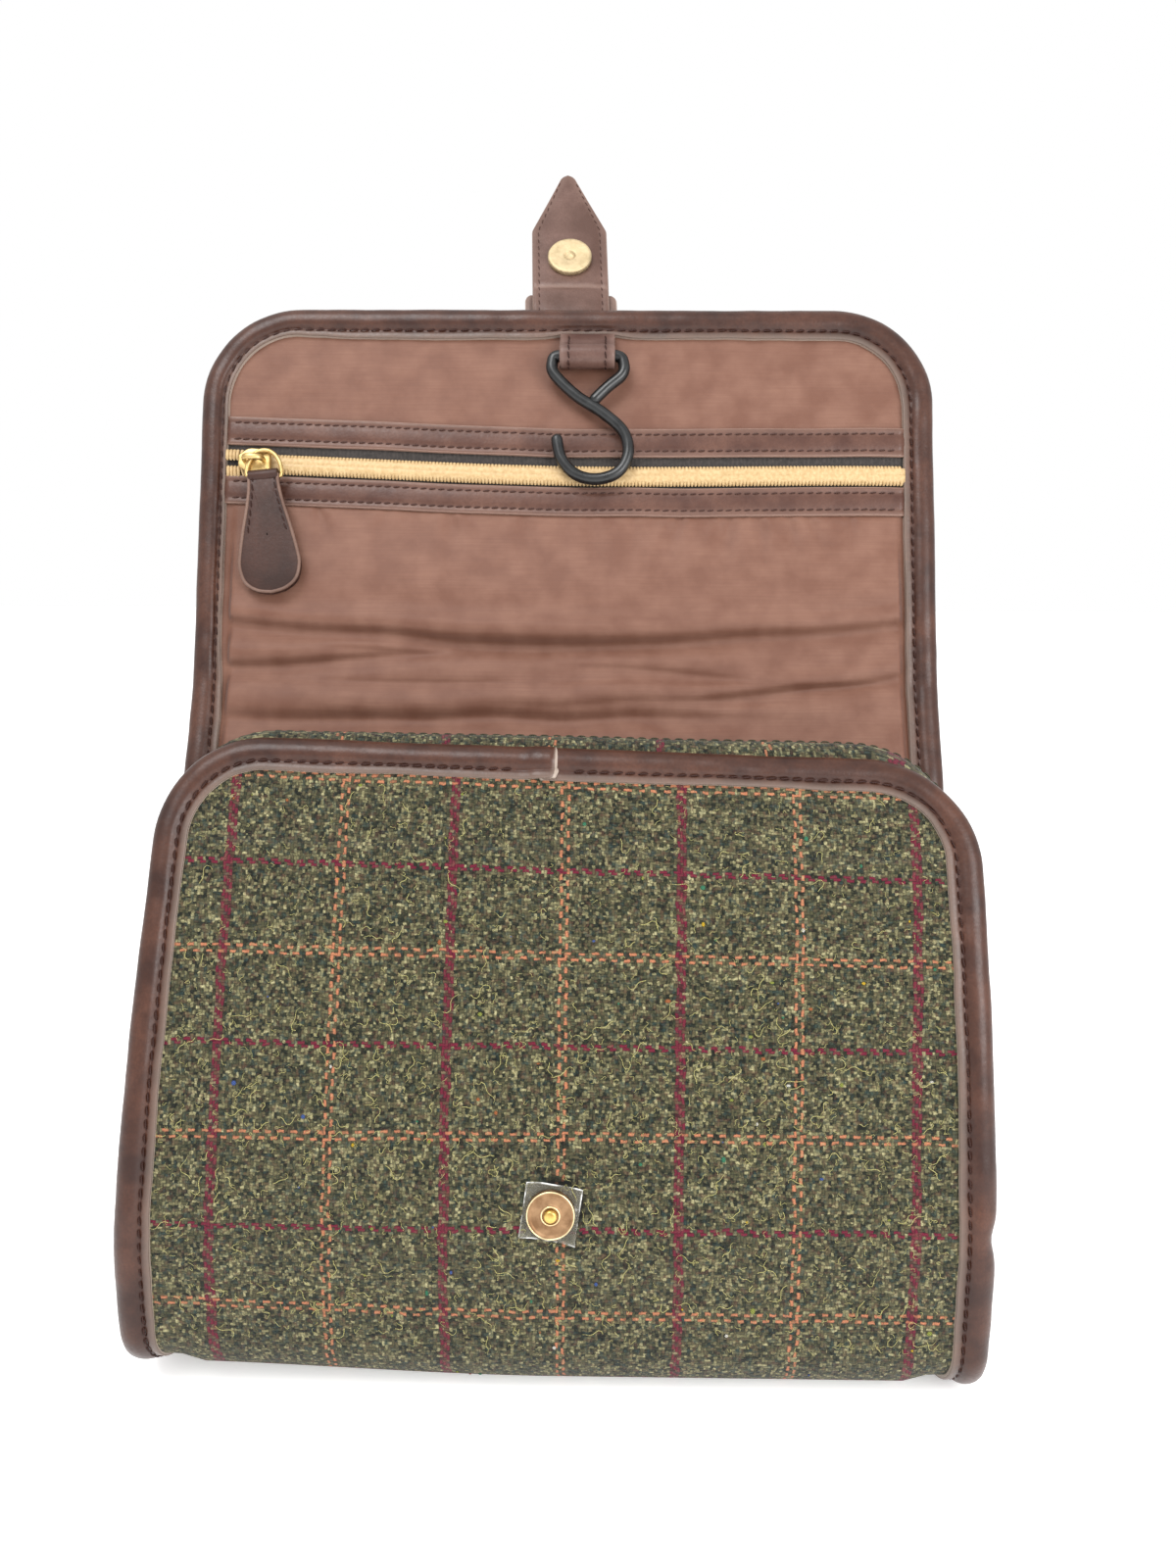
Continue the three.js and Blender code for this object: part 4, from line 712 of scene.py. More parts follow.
def edge_binding():
    """The folded strip round the sheet's edge: fuller and wavering, thick at its lap, short over the loop."""
    along, across, off_along, off_across = edge_path()
    count = len(along)
    place = np.stack([along, across], -1)
    run = run_along(place)
    over = smooth(run, run[-1] - LAP_LENGTH - 3, run[-1] - LAP_LENGTH + 1)
    section_inset, section_depth = BINDING_SECTION.T
    inner_side = section_depth > BINDING_MIDDLE[1]
    bulge = 1 + 0.07 * ripple(run, 26, 11) + 0.05 * ripple(run, 7, 12)
    waver = 0.22 * ripple(run, 18, 13) + 0.1 * ripple(run, 5, 14)
    inset = section_inset + np.where(section_inset > 5.5, waver[:, None], -0.6 * waver[:, None])
    depth = BINDING_MIDDLE[1] + (section_depth - BINDING_MIDDLE[1]) * bulge[:, None]
    depth = depth + np.where(inner_side, 1, -1) * LAP_THICKER * over[:, None]
    inset = inset - np.where(inner_side & (section_inset > 4.5), LAP_SHORTER, 0) * over[:, None]
    on_flap_left = smooth(along, AT["second_fold"] - 10, AT["second_fold"] + 20) * smooth(-across, 60, 110)
    inner_lip = inner_side * np.clip((section_inset - 4) / 4.7, 0, 1)
    over_loop = np.exp(-((across - LOOP_PLACE) / LOOP_REACH) ** 4) * (along > LENGTH - 1)
    inset = inset - (LEFT_LIP_SHORTER * on_flap_left + LOOP_LIFT * over_loop)[:, None] * inner_lip
    kink = np.exp(-((along - KINK_PLACE) / KINK_REACH) ** 2) * (across > 0.9 * HALF_WIDTH)
    outer_roll = np.clip((4.5 - section_inset) / 5, 0, 1)
    inset = inset + KINK_SIZE * kink[:, None] * outer_roll
    for end in (0, -1):
        for part, middle in zip((inset, depth), BINDING_MIDDLE):
            part[end] = middle + (part[end] - middle) * CLOSED_END
    points = sheet_points(along[:, None] - off_along[:, None] * inset,
                          across[:, None] - off_across[:, None] * inset, depth)
    arc = run_along(BINDING_SECTION)
    from_cut = np.broadcast_to(np.minimum(arc, arc[-1] - arc), (count, len(arc))).copy()
    from_cut[[0, 1, -2, -1]] = 0
    flat = side_by_side(run[:, None], from_cut)
    mesh_piece("binding_leather", points, grid_faces(count, len(arc), round_columns=True), binding_leather,
               "leatherette", uv=flat, node="edge_binding")
    sewn = along - off_along * STITCH_INSET, across - off_across * STITCH_INSET
    rows = []
    for depths in ((-0.8, -1.6), (4.5, 5.3)):
        rows.append(stitches(*(sheet_points(*sewn, depth)[6:-6] for depth in depths)))
    mesh_piece("binding_stitches", *together(*rows), brown_thread, "leatherette")


def gusset_seams():
    """Paired stations on the front and back seams, up the left side, over the top and down the right."""
    back_top = AT["first_fold"] - BACK_SEAM_DROP
    front_middle, front_radius = HALF_WIDTH - FRONT_CORNER, FRONT_CORNER - FRONT_SEAM
    back_middle = HALF_WIDTH - BACK_SEAM - BACK_SEAM_RADIUS
    base = np.linspace(0, 1, 14, endpoint=False)
    rise = np.linspace(0, 1, 60, endpoint=False)
    front_along = np.concatenate([
        AT["base_start"] + base * (AT["front_run"] - AT["base_start"]),
        AT["front_run"] + rise * (FRONT_CORNER - AT["front_run"]),
    ])
    back_along = np.concatenate([
        AT["base_end"] + base * (AT["back_start"] - AT["base_end"]),
        AT["back_start"] + rise * (back_top - BACK_SEAM_RADIUS - AT["back_start"]),
    ])
    flat, still = np.ones_like(front_along), np.zeros_like(front_along)

    def side(way):
        front = np.stack([front_along, way * flat * (HALF_WIDTH - FRONT_SEAM), still, way * flat])
        back = np.stack([back_along, way * flat * (HALF_WIDTH - BACK_SEAM), still, way * flat])
        return front, back, still

    def corner(way):
        angle = np.linspace(0, math.pi / 2, 20)
        cos, sin = np.cos(angle), np.sin(angle)
        front = way * (front_middle + front_radius * cos)
        back = way * (back_middle + BACK_SEAM_RADIUS * cos)
        return (np.stack([FRONT_CORNER - front_radius * sin, front, -sin, way * cos]),
                np.stack([back_top - BACK_SEAM_RADIUS * (1 - sin), back, sin, way * cos]), sin)

    share = np.linspace(-1, 1, 90)[1:-1]
    one, zero = np.ones_like(share), np.zeros_like(share)
    top = (np.stack([one * FRONT_SEAM, share * front_middle, -one, zero]),
           np.stack([one * back_top, share * back_middle, one, zero]), one)
    runs = [side(-1), corner(-1), top]
    runs += [tuple(part[..., ::-1] for part in run) for run in (corner(1), side(1))]
    return (np.concatenate(parts, -1) for parts in zip(*runs))


SEAM_FRONT, SEAM_BACK, SEAM_TOP = gusset_seams()
ARCH_DEPTH = SHELL_WALL + GUSSET_WALL + 2.4
TAPE_HALF = 8.5


def seam_points(seam, outwards, depth):
    return sheet_points(seam[0] + seam[2] * outwards, seam[1] + seam[3] * outwards, depth)


class Arch:
    """The gusset's arch over all stations, from its front seam to its back seam."""

    def __init__(self):
        self.start = seam_points(SEAM_FRONT, 0, ARCH_DEPTH)
        self.chord = seam_points(SEAM_BACK, 0, ARCH_DEPTH) - self.start
        front_out = unit(seam_points(SEAM_FRONT, 1, ARCH_DEPTH) - self.start)
        back_out = unit(seam_points(SEAM_BACK, 1, ARCH_DEPTH) - self.start - self.chord)
        self.out = unit(front_out + back_out)
        self.span = np.linalg.norm(self.chord, axis=1)
        self.run = run_along(self.start + self.chord / 2)
        self.run -= self.run[-1] / 2
        self.height = sheet_points(SEAM_FRONT[0], 0, 0)[:, 2]
        fullness = smooth(self.height, FRONT_BEND / 2, FRONT_HEIGHT / 2)
        self.rise = SIDE_BULGE * fullness + (CROWN_RISE - SIDE_BULGE * fullness) * SEAM_TOP
        self.rise = self.rise * (1 + 0.03 * ripple(self.run, 40, 21))
        self.zip = ZIP_SHARE_SIDE + (ZIP_SHARE_TOP - ZIP_SHARE_SIDE) * SEAM_TOP

    def at(self, share, under):
        """Points at shares of the way, a row for each station, so far under the outer face."""
        share, under = np.broadcast_arrays(np.asarray(share, float), np.asarray(under, float))
        out, chord, rise = self.out[:, None], self.chord[:, None], self.rise[:, None, None]
        share = share[..., None]
        tangent = unit(chord + out * 4 * rise * (1 - 2 * share))
        normal = unit(out - tangent * (tangent * out).sum(-1, keepdims=True))
        return (self.start[:, None] + chord * share + out * 4 * rise * share * (1 - share)
                - normal * under[..., None])

    def zip_shares(self, offsets):
        """Shares of the way for distances from the zip's middle, in millimetres."""
        return self.zip[:, None] + np.asarray(offsets)[None] / self.span[:, None]

    def line(self, offset, under):
        """One line along the arch, at a distance from the zip's middle."""
        return self.at(self.zip_shares([offset]), under)[:, 0]


arch = Arch()


def gusset_strip(name, seam, front):
    """The gusset between one seam and the zip: a hidden flange on the sheet, then the arch."""
    edge = arch.zip_shares([-ZIP_GAP / 2 if front else ZIP_GAP / 2])
    steps = np.linspace(0, 1, 15)
    share = steps * edge if front else 1 + steps * (edge - 1)
    puckers = 0.35 * lumps(arch.run[:, None] + 0 * share, 60 * share, 9, 23) * np.linspace(1, 0.2, 15)

    def face(inner):
        flange = SHELL_WALL + GAP + (0 if inner else GUSSET_WALL)
        hidden = [seam_points(seam, way, flange) for way in (FRONT_SEAM - 2.4, -GUSSET_WALL * inner)]
        return np.concatenate([np.stack(hidden, 1), arch.at(share, GUSSET_WALL * inner + puckers)], 1)

    flat_down = 16 + (share if front else 1 - share) * arch.span[:, None]
    flat = side_by_side(arch.run[:, None] + 5.6, flat_down)
    flat = np.concatenate([flat[:, :1], flat[:, :1], flat], 1)
    wall_piece(name + "_tweed", face(0), face(1), flat, tweed, "tweed", node=name)


def tooth_template():
    """One tooth of a coil zip: a rounded bar from the tape to just past the middle."""
    reach = COIL_WIDTH / 2
    path = [(0, reach, 0.1), (0, reach - 0.25, 0.75), (0.04, 0.55 * reach, 1.0), (0.1, 0.1, 1.0),
            (0.12, -0.35, 0.6)]
    thick = 0.5 * TOOTH_PITCH * np.array([[0.85, 1.0, 1.02, 1.05, 0.7]])
    return tubes([path], thick, 8, (0, 0, 1))


def coil_teeth(rows):
    """Both rows of teeth of a coil zip, each along its own line and the line above it, which mesh in turn."""
    points, faces = tooth_template()
    turned = points * np.array([-1, -1, 1])
    return together(
        stamp((points, faces), *evenly(*rows[0], TOOTH_PITCH)),
        stamp((turned, faces), *evenly(*rows[1], TOOTH_PITCH, start=0.999)),
    )


def main_zip():
    offsets = np.linspace(-TAPE_HALF, TAPE_HALF, 13)
    tape = [arch.at(arch.zip_shares(offsets), GUSSET_WALL + 0.6 + under) for under in (0, 1)]
    flat = side_by_side(arch.run[:, None], offsets)
    wall_piece("main_zip_cloth", *tape, flat, black_tape, "zip_tape", node="main_zip_tape")
    middle = arch.line(0.0, GUSSET_WALL + 0.1), arch.line(0.0, 0.0)
    mesh_piece("main_zip_teeth", *coil_teeth([middle, middle]), gold_coil, "zip_coil", node="main_zip_coil")
    sewn = ZIP_GAP / 2 + 1.4
    rows = [stitches(arch.line(offset, -0.1), arch.line(offset, -1.0)) for offset in (-sewn, sewn)]
    mesh_piece("gusset_stitches", *together(*rows), olive_thread, "tweed")


outer_shell()
edge_binding()
gusset_strip("gusset_front", SEAM_FRONT, True)
gusset_strip("gusset_back", SEAM_BACK, False)
main_zip()


# Inside of the flap: distances down from its top edge

ZIP_TOP = BAND_TOP + BAND_WIDTH
LOWER_BAND_TOP = ZIP_TOP + ZIP_OPENING
ZIP_MIDDLE = ZIP_TOP + ZIP_OPENING / 2
POCKET_START = LOWER_BAND_TOP + BAND_WIDTH
CREASE_DOWN, CREASE_BOW = 116.7, 7.3
COIL_LOWER = 1.3
SLIDER_PLACE, OPEN_ZIP_HALF = -107, 1.5


def zip_shift(across):
    return ZIP_SAG * np.cos(math.pi * across / BAG_WIDTH) ** 2 + ZIP_TILT * (across / BAG_WIDTH + 0.5)


def flap_points(down, across, depth):
    return sheet_points(LENGTH - np.asarray(down), across, depth)


def finer_at_edges(count, share):
    """Places across the lining, closer together at its sides."""
    turn = math.pi / 2 * share
    return np.sin(np.linspace(-1, 1, count) * turn)[None] / math.sin(turn) * LINING_HALF


def flap_lining():
    across = finer_at_edges(150, 0.98)
    radius = FLAP_CORNER - FLANGE_INSET
    beyond = np.clip(np.abs(across) - (HALF_WIDTH - FLAP_CORNER), 0, radius)
    top = FLAP_CORNER - np.sqrt(radius ** 2 - beyond ** 2)
    down = top + np.linspace(0, 1, 50)[:, None] * (BAND_TOP + BAND_WIDTH / 2 + zip_shift(across) - top)
    rumple = 0.22 * lumps(across, 2.2 * down, 24, 31) + 0.1 * lumps(across, down, 7, 32)
    rumple = rumple + 0.18 * lumps(across + 0.6 * down, 0 * down, 5, 33) * smooth(down, 24, 36)
    depth = LINING_DEPTH + LINING_WALL + rumple
    piece = wall_piece("flap_lining_cloth", flap_points(down, across, depth),
                       flap_points(down, across, LINING_DEPTH), side_by_side(across, down), nylon,
                       "nylon_lining", node="flap_lining")


def pocket_bottom(across):
    radius = BACK_SEAM_RADIUS + BACK_SEAM - FLANGE_INSET + 2 * GAP
    back_top = AT["first_fold"] - BACK_SEAM_DROP
    beyond = np.clip(np.abs(across) - (HALF_WIDTH - BACK_SEAM - BACK_SEAM_RADIUS), 0, radius)
    return back_top - BACK_SEAM_RADIUS + np.sqrt(radius ** 2 - beyond ** 2)


def fold(down, line, size, above, below):
    """A fold seen from the front: cloth bulging over a line, dropping sharply and rising slowly again."""
    off = down - line
    dip = np.exp(-(off / np.where(off < 0, above, below)) ** 2)
    swell = np.exp(-((off + 3.4 * above) / (2.4 * above)) ** 2)
    return size * (0.55 * swell - dip)


# Smaller folds: distance down, slope, place across, reach, size, spread above and below
POCKET_FOLDS = [
    (124.0, -0.07, -95, 45, 2.4, 1.6, 4.0), (119.5, 0.05, -60, 22, 0.9, 1.2, 2.5),
    (132.5, -0.14, 84, 34, 2.2, 1.3, 3.5), (127.5, 0.09, 36, 34, 1.1, 1.6, 4.0),
    (131.5, 0.03, -48, 40, 1.0, 2.2, 5.0), (138.5, -0.03, 30, 55, 0.9, 1.6, 4.0),
    (143.8, 0.0, -30, 95, 2.8, 2.4, 5.0), (104.5, -0.10, 98, 20, 0.7, 1.4, 4.0),
]
# Gathers under the band: place across, lean, size
POCKET_GATHERS = [
    (-98, 0.2, 0.7), (-86, 0.35, 0.9), (-62, -0.1, 0.5), (-40, 0.1, 1.5), (-14, 0.1, 0.6), (8, 0.2, 0.7),
    (24, -0.1, 0.6), (39, -0.25, 1.4), (56, -0.15, 1.7), (66, 0.1, 1.6), (77, 0.0, 1.5), (84, 0.3, 1.1),
    (98, -0.1, 0.8),
]


def pocket_slack(down, across):
    """How far the gathered cloth stands off the lining, with its creases and gathers."""
    crease = CREASE_DOWN - CREASE_BOW * (across / 113) ** 2 + 0.7 * ripple(across, 30, 41)
    from_band = down - POCKET_START - zip_shift(across)
    fullness = smooth(from_band, 0, 30) * (1 + 0.15 * ripple(across, 45, 42))
    slack = 0.6 + 3.0 * fullness - 0.9 * smooth(down, crease - 1, crease + 2)
    middle = np.exp(-((across + 8) / 62) ** 2)
    slack = slack + fold(down, crease, 2.0 + 1.9 * middle, 1.3 + 0.4 * middle, 4.5)
    waver = 0.8 * ripple(across, 24, 46)
    for line, slope, centre, reach, size, above, below in POCKET_FOLDS:
        strength = size * np.exp(-((across - centre) / reach) ** 4)
        slack = slack + fold(down, line + slope * (across - centre) + waver, strength, above, below)
    for place, lean, size in POCKET_GATHERS:
        off = np.abs(across - place - lean * from_band - 0.6 * lumps(from_band, place + 0 * across, 9, 47))
        spread = 1.2 + 0.16 * from_band
        swell = 0.45 * np.exp(-((off - 2.2 * spread) / (1.4 * spread)) ** 2) * np.exp(-from_band / 8)
        slack = slack + size * (swell - np.exp(-(off / spread) ** 2) * np.exp(-from_band / 6))
    slack = slack + 0.22 * lumps(across, 2.4 * down, 26, 43)
    return slack + 0.2 * lumps(across + 0.5 * down, 1.6 * down, 14, 45)


def pocket_panel():
    across = finer_at_edges(230, 0.9)
    start = LOWER_BAND_TOP + BAND_WIDTH / 2 + zip_shift(across)
    share = np.linspace(0, 1, 190)[:, None]
    down = start + share * (LENGTH - pocket_bottom(across) - start)
    sides = smooth(LINING_HALF - np.abs(across), INNER_LEG - 1.5, INNER_LEG + 1.5)
    ends = smooth(down, start + BAND_WIDTH / 2 - 1, start + BAND_WIDTH / 2 + 2) * smooth(1 - share, 0.0, 0.05)
    along = LENGTH - down
    from_fold = np.minimum(*[np.abs(along - AT[place]) for place in ("first_fold", "lower_start")])
    depth = LINING_DEPTH + FOLD_EASE * np.clip(1 - from_fold / FOLD_RADIUS, 0, 1)
    slack = np.maximum(pocket_slack(down, across), 0) * sides * ends
    piece = wall_piece("pocket_cloth", sheet_points(along, across, depth + LINING_WALL + slack),
                       sheet_points(along, across, depth + 0.8 * slack), side_by_side(across, down), nylon,
                       "nylon_lining", node="pocket_panel")


STRIP_EDGE = HALF_WIDTH - INNER_LEG - GAP
UNDER_LEFT_LIP, UNDER_RIGHT_LIP = 2.4, 1.0


def strip_waver(across, seed):
    return 0.18 * ripple(across, 21, seed)


def flap_strip(top, width, under, section, seed=51):
    """A strip across the flap: section gives shares of its width and heights over its underside."""
    across = np.linspace(-STRIP_EDGE - UNDER_LEFT_LIP, STRIP_EDGE + UNDER_RIGHT_LIP, 120)[None]
    shares, heights = np.array(section).T
    down = top + zip_shift(across) + strip_waver(across, seed) + shares[:, None] * width
    height = heights[:, None] * (1 + 0.12 * lumps(across, 30 * shares[:, None], 12, seed + 1))
    flat = side_by_side(across, shares[:, None] * width)
    return flap_points(down, across, under + height), flap_points(down, across, under), flat


BAND_SECTION = [(0, 0.02), (0.004, 0.7), (0.03, 0.98), (0.1, 1.0), (0.17, 0.9), (0.21, 0.72), (0.25, 0.9),
                (0.4, 1.05), (0.6, 1.05), (0.75, 0.9), (0.79, 0.72), (0.83, 0.9), (0.9, 1.0), (0.97, 0.98),
                (0.996, 0.7), (1.0, 0.02)]


def zip_bands():
    under = LINING_DEPTH + LINING_WALL + GAP
    rows = []
    across = np.linspace(-STRIP_EDGE, STRIP_EDGE, 200)
    for name, top, seed in (("zip_band_upper", BAND_TOP, 51), ("zip_band_lower", LOWER_BAND_TOP, 56)):
        front, back, flat = flap_strip(top, BAND_WIDTH, under, BAND_SECTION, seed=seed)
        flat[..., 1] = np.minimum(flat[..., 1], BAND_WIDTH - flat[..., 1])
        wall_piece(name + "_leather", front, back, flat, band_leather, "leatherette", node=name)
        for share in (0.21, 0.79):
            down = top + zip_shift(across) + strip_waver(across, seed) + share * BAND_WIDTH
            line, above = (flap_points(down, across, under + height) for height in (0.78, 1.5))
            rows.append(stitches(line, above, length=2.3, pitch=3.1, radius=0.24, seed=seed))
    mesh_piece("band_stitches", *together(*rows), band_thread, "leatherette")


def pocket_zip():
    tape_top = BAND_TOP + BAND_WIDTH / 2 + GAP
    tape_width = LOWER_BAND_TOP + BAND_WIDTH / 2 - GAP - tape_top
    section = [(s, 1.0) for s in np.linspace(0, 1, 9)]
    wall_piece("pocket_zip_cloth", *flap_strip(tape_top, tape_width, LINING_DEPTH, section), black_tape,
               "zip_tape", node="pocket_zip_tape")
    core = np.linspace(SLIDER_PLACE + 1, STRIP_EDGE + UNDER_RIGHT_LIP, 120)[None]
    shares = np.array([-1, -0.93, -0.75, -0.12, 0, 0.12, 0.75, 0.93, 1])[:, None]
    heights = np.array([0.1, 1.2, 1.75, 1.95, 1.75, 1.95, 1.75, 1.2, 0.1])[:, None] + 1.1
    place = ZIP_MIDDLE + COIL_LOWER + zip_shift(core) + shares * (COIL_WIDTH / 2 - 0.35)
    wall_piece("pocket_zip_core", flap_points(place, core, LINING_DEPTH + heights),
               flap_points(place, core, LINING_DEPTH + 1.1), None, gold_coil, "zip_coil")
    across = np.linspace(-STRIP_EDGE - UNDER_LEFT_LIP, STRIP_EDGE + UNDER_RIGHT_LIP, 300)
    down = ZIP_MIDDLE + COIL_LOWER + zip_shift(across)
    apart = OPEN_ZIP_HALF * smooth(SLIDER_PLACE - 1 - across, 0, 5)
    rows = [[flap_points(down + way * apart, across, LINING_DEPTH + depth) for depth in (1.35, 2.3)]
            for way in (-1, 1)]
    mesh_piece("pocket_zip_teeth", *coil_teeth(rows), gold_coil, "zip_coil", node="pocket_zip_coil")


class Place:
    """A turned place of its own: origin in millimetres and three axes."""

    def __init__(self, origin, right, up):
        self.origin = np.asarray(origin, float)
        right = unit(np.asarray(right, float))
        off = unit(np.cross(right, up))
        self.axes = np.stack([right, np.cross(off, right), off])

    def put(self, points):
        return self.origin + np.asarray(points) @ self.axes

    def moved(self, x, y, z, turn=0.0):
        """The same place moved along its own axes and turned about its third one, in degrees."""
        cos, sin = math.cos(math.radians(turn)), math.sin(math.radians(turn))
        right, up = self.axes[0] * cos + self.axes[1] * sin, self.axes[1] * cos - self.axes[0] * sin
        return Place(self.put([x, y, z]), right, up)


def flap_place(down, across, depth):
    origin, higher = flap_points(down, across, depth), flap_points(down - 1, across, depth)
    return Place(origin, (1, 0, 0), higher - origin)


def rounded_plate(outline, thickness, bevel):
    """A plate with the given closed outline (x, y), rounded rims and closed faces, in rings."""
    outline = np.asarray(outline, float)
    ahead = unit(np.roll(outline, -1, 0) - np.roll(outline, 1, 0))
    out = np.stack([ahead[:, 1], -ahead[:, 0]], -1)
    if np.sum(outline[:, 0] * np.roll(outline[:, 1], -1) - np.roll(outline[:, 0], -1) * outline[:, 1]) < 0:
        out = -out
    centre = outline.mean(0)
    rings = []
    angles = np.linspace(0, math.pi / 2, 4)
    for height, way in ((0, -1), (thickness, 1)):
        for angle in angles if way < 0 else angles[::-1]:
            drawn = bevel * (1 - math.sin(angle))
            z = height - way * bevel * (1 - math.cos(angle))
            rings.append(np.column_stack([outline - out * drawn, np.full(len(outline), z)]))
    for first, ring, z in ((True, rings[0], 0), (False, rings[-1], thickness)):
        flat = [centre + (ring[:, :2] - centre) * share for share in (0.7, 0.35, 0.02)]
        caps = [np.column_stack([points, np.full(len(points), z)]) for points in flat]
        rings = [*caps[::-1], *rings] if first else [*rings, *caps]
    points = np.stack(rings)
    return points.reshape(-1, 3), grid_faces(len(rings), len(outline), round_columns=True)


def placed(part, place):
    points, faces = part
    return place.put(points), faces


def lathe(profile, sides=56):
    """A round body about the third axis from (radius, height) pairs."""
    radius, height = np.array(profile, float).T
    turn = full_turn(sides)
    radius = np.maximum(radius, 0.01)[:, None]
    points = np.stack([radius * np.cos(turn), radius * np.sin(turn), height[:, None] + 0 * turn], -1)
    return points.reshape(-1, 3), grid_faces(len(profile), sides, round_columns=True)


def capped_tube(path, diameter, sides=16, away=(0, 0, 1)):
    """A tube with domed ends."""
    run = run_along(path)
    radius = diameter / 2
    from_end = np.minimum(run, run[-1] - run)
    dome = np.sqrt(np.clip(1 - np.clip(1 - from_end / radius, 0, 1) ** 2, 0.0004, 1))
    return tubes(path[None], (radius * dome)[None], sides, away)


def resampled(points, spacing, ends=()):
    """The same line in even steps, with finer steps at its two ends."""
    points = np.asarray(points, float)
    run = run_along(points)
    at = [np.linspace(0, run[-1], int(run[-1] / spacing) + 2), ends, run[-1] - np.asarray(ends, float)]
    return at_run(np.unique(np.concatenate(at)), run, points)


RING_HALF, RING_HEIGHT = 6.0, 8.0
RING_FOOT = [(-0.97, -0.9), (-0.8, -1.15), (0.8, -1.15), (0.97, -0.9)]
SLIDER_LENGTH, SLIDER_WIDTH, SLIDER_THICKNESS = 11, 8.4, 2
BAIL_HALF, BAIL_WIRE = 3.96, 1.3


def slider_parts():
    """A zip slider's top plate and its bail."""
    half, shoulder = SLIDER_LENGTH / 2, SLIDER_WIDTH / 2
    outline = resampled(spline_through([
        (-half, 0), (-half, 0.42 * shoulder), (-0.72 * half, 0.72 * shoulder), (-0.3 * half, shoulder),
        (0.4 * half, 0.97 * shoulder), (0.93 * half, shoulder), (half, 0.85 * shoulder), (half, 0),
    ], 8), 0.5)
    outline = np.concatenate([outline, outline[-2:0:-1] * (1, -1)])
    body = rounded_plate(outline, SLIDER_THICKNESS, 0.55)
    leg = BAIL_HALF - BAIL_WIRE / 2
    path = resampled(spline_through([
        (-leg, 0, 1.2), (-leg, 0, 3.0), (-0.8 * leg, 0, 4.9), (-0.3 * leg, 0, 5.7), (0.3 * leg, 0, 5.7),
        (0.8 * leg, 0, 4.9), (leg, 0, 3.0), (leg, 0, 1.2),
    ], 10), 0.35)
    points, faces = tubes(path[None], BAIL_WIRE / 2, 10, (0, 1, 0))
    points[:, 1] *= 1.7
    return body, (points, faces)


POCKET_SLIDER_OFF, RING_PLACE, RING_WIRE = 3.8, (3.9, -5.0, 3.05), 1.5
PULLER_PLACE, PULLER_TURN, PULLER_THICKNESS = (0, -1.15, -1.2), 6.2, 2.5
PULLER_SIDE = [
    (5.1, 0.6), (5.2, -4), (6.4, -11), (8.3, -19), (9.9, -27), (10.4, -32), (8.9, -37.2), (4.9, -40.3),
    (0, -41.3),
]


def puller_lift(points):
    """How far the puller's leather stands off its flat place: a slight curve and soft lumps."""
    return 0.012 * np.clip(-points[:, 1], 0, 41) + 0.25 * lumps(points[:, 0], points[:, 1], 13, 61)


def pocket_slider():
    """The pocket's slider, the ring on its bail and the leather puller that hangs from the ring."""
    middle = flap_place(ZIP_MIDDLE + COIL_LOWER + zip_shift(SLIDER_PLACE), SLIDER_PLACE,
                        LINING_DEPTH + POCKET_SLIDER_OFF)
    mesh_piece("pocket_slider_metal", *together(*[placed(part, middle) for part in slider_parts()]), gold,
               "gold_metal", node="pocket_zip_slider")
    arc = [(RING_HALF * math.cos(a), RING_HEIGHT * math.sin(a), 0) for a in np.linspace(0, math.pi, 28)]
    ring = np.array([*arc, *[(RING_HALF * share, up, 0) for share, up in RING_FOOT]])
    ring_place = middle.moved(*RING_PLACE)
    points, faces = tubes(ring[None], RING_WIRE / 2, 12, (0, 0, 1), closed=True)
    mesh_piece("puller_ring_wire", ring_place.put(points), faces, gold, "gold_metal", node="puller_ring")
    tab = ring_place.moved(*PULLER_PLACE, PULLER_TURN)
    side = resampled(spline_through(PULLER_SIDE, 8), 0.8)
    straight = np.column_stack([np.linspace(-side[0, 0], side[0, 0], 13), np.full(13, side[0, 1])])
    outline = np.concatenate([side, side[-2::-1] * (-1, 1), straight[1:-1]])
    body = rounded_plate(outline, PULLER_THICKNESS, 0.35)
    body[0][:, 2] += puller_lift(body[0])
    wrap = [(2.2 * math.cos(a), 2.2 * math.sin(a)) for a in full_turn(24)]
    tunnel = rounded_plate(np.array(wrap) * 0.95, 10.2, 0.3)
    tunnel = (tunnel[0][:, [2, 0, 1]] - (5.1, -0.2, -1.3), tunnel[1])
    mesh_piece("puller_leather", *together(placed(body, tab), placed(tunnel, tab)), puller_leather,
               "leatherette", node="zip_puller")
    rim = resampled(np.concatenate([side, side[-2::-1] * (-1, 1)]), 0.6) * (0.97, 0.988)
    rim = np.column_stack([rim, np.full(len(rim), PULLER_THICKNESS - 0.15)])
    rim[:, 2] += puller_lift(rim)
    mesh_piece("puller_rim", *capped_tube(tab.put(rim), 1.15, 10, (0, -1, 0.3)), rim_leather, "leatherette")
    rows = []
    inner = resampled(side * (0.74, 0.93), 0.5)[:44]
    for way in (1, -1):
        line = np.column_stack([inner * (way, 1), np.full(len(inner), PULLER_THICKNESS + 0.1)])
        line[:, 2] += puller_lift(line)
        rows.append(stitches(tab.put(line), tab.put(line + (0, 0, 1)), 2.2, 3.0, 0.25, seed=62))
    mesh_piece("puller_stitches", *together(*rows), brown_thread, "leatherette")


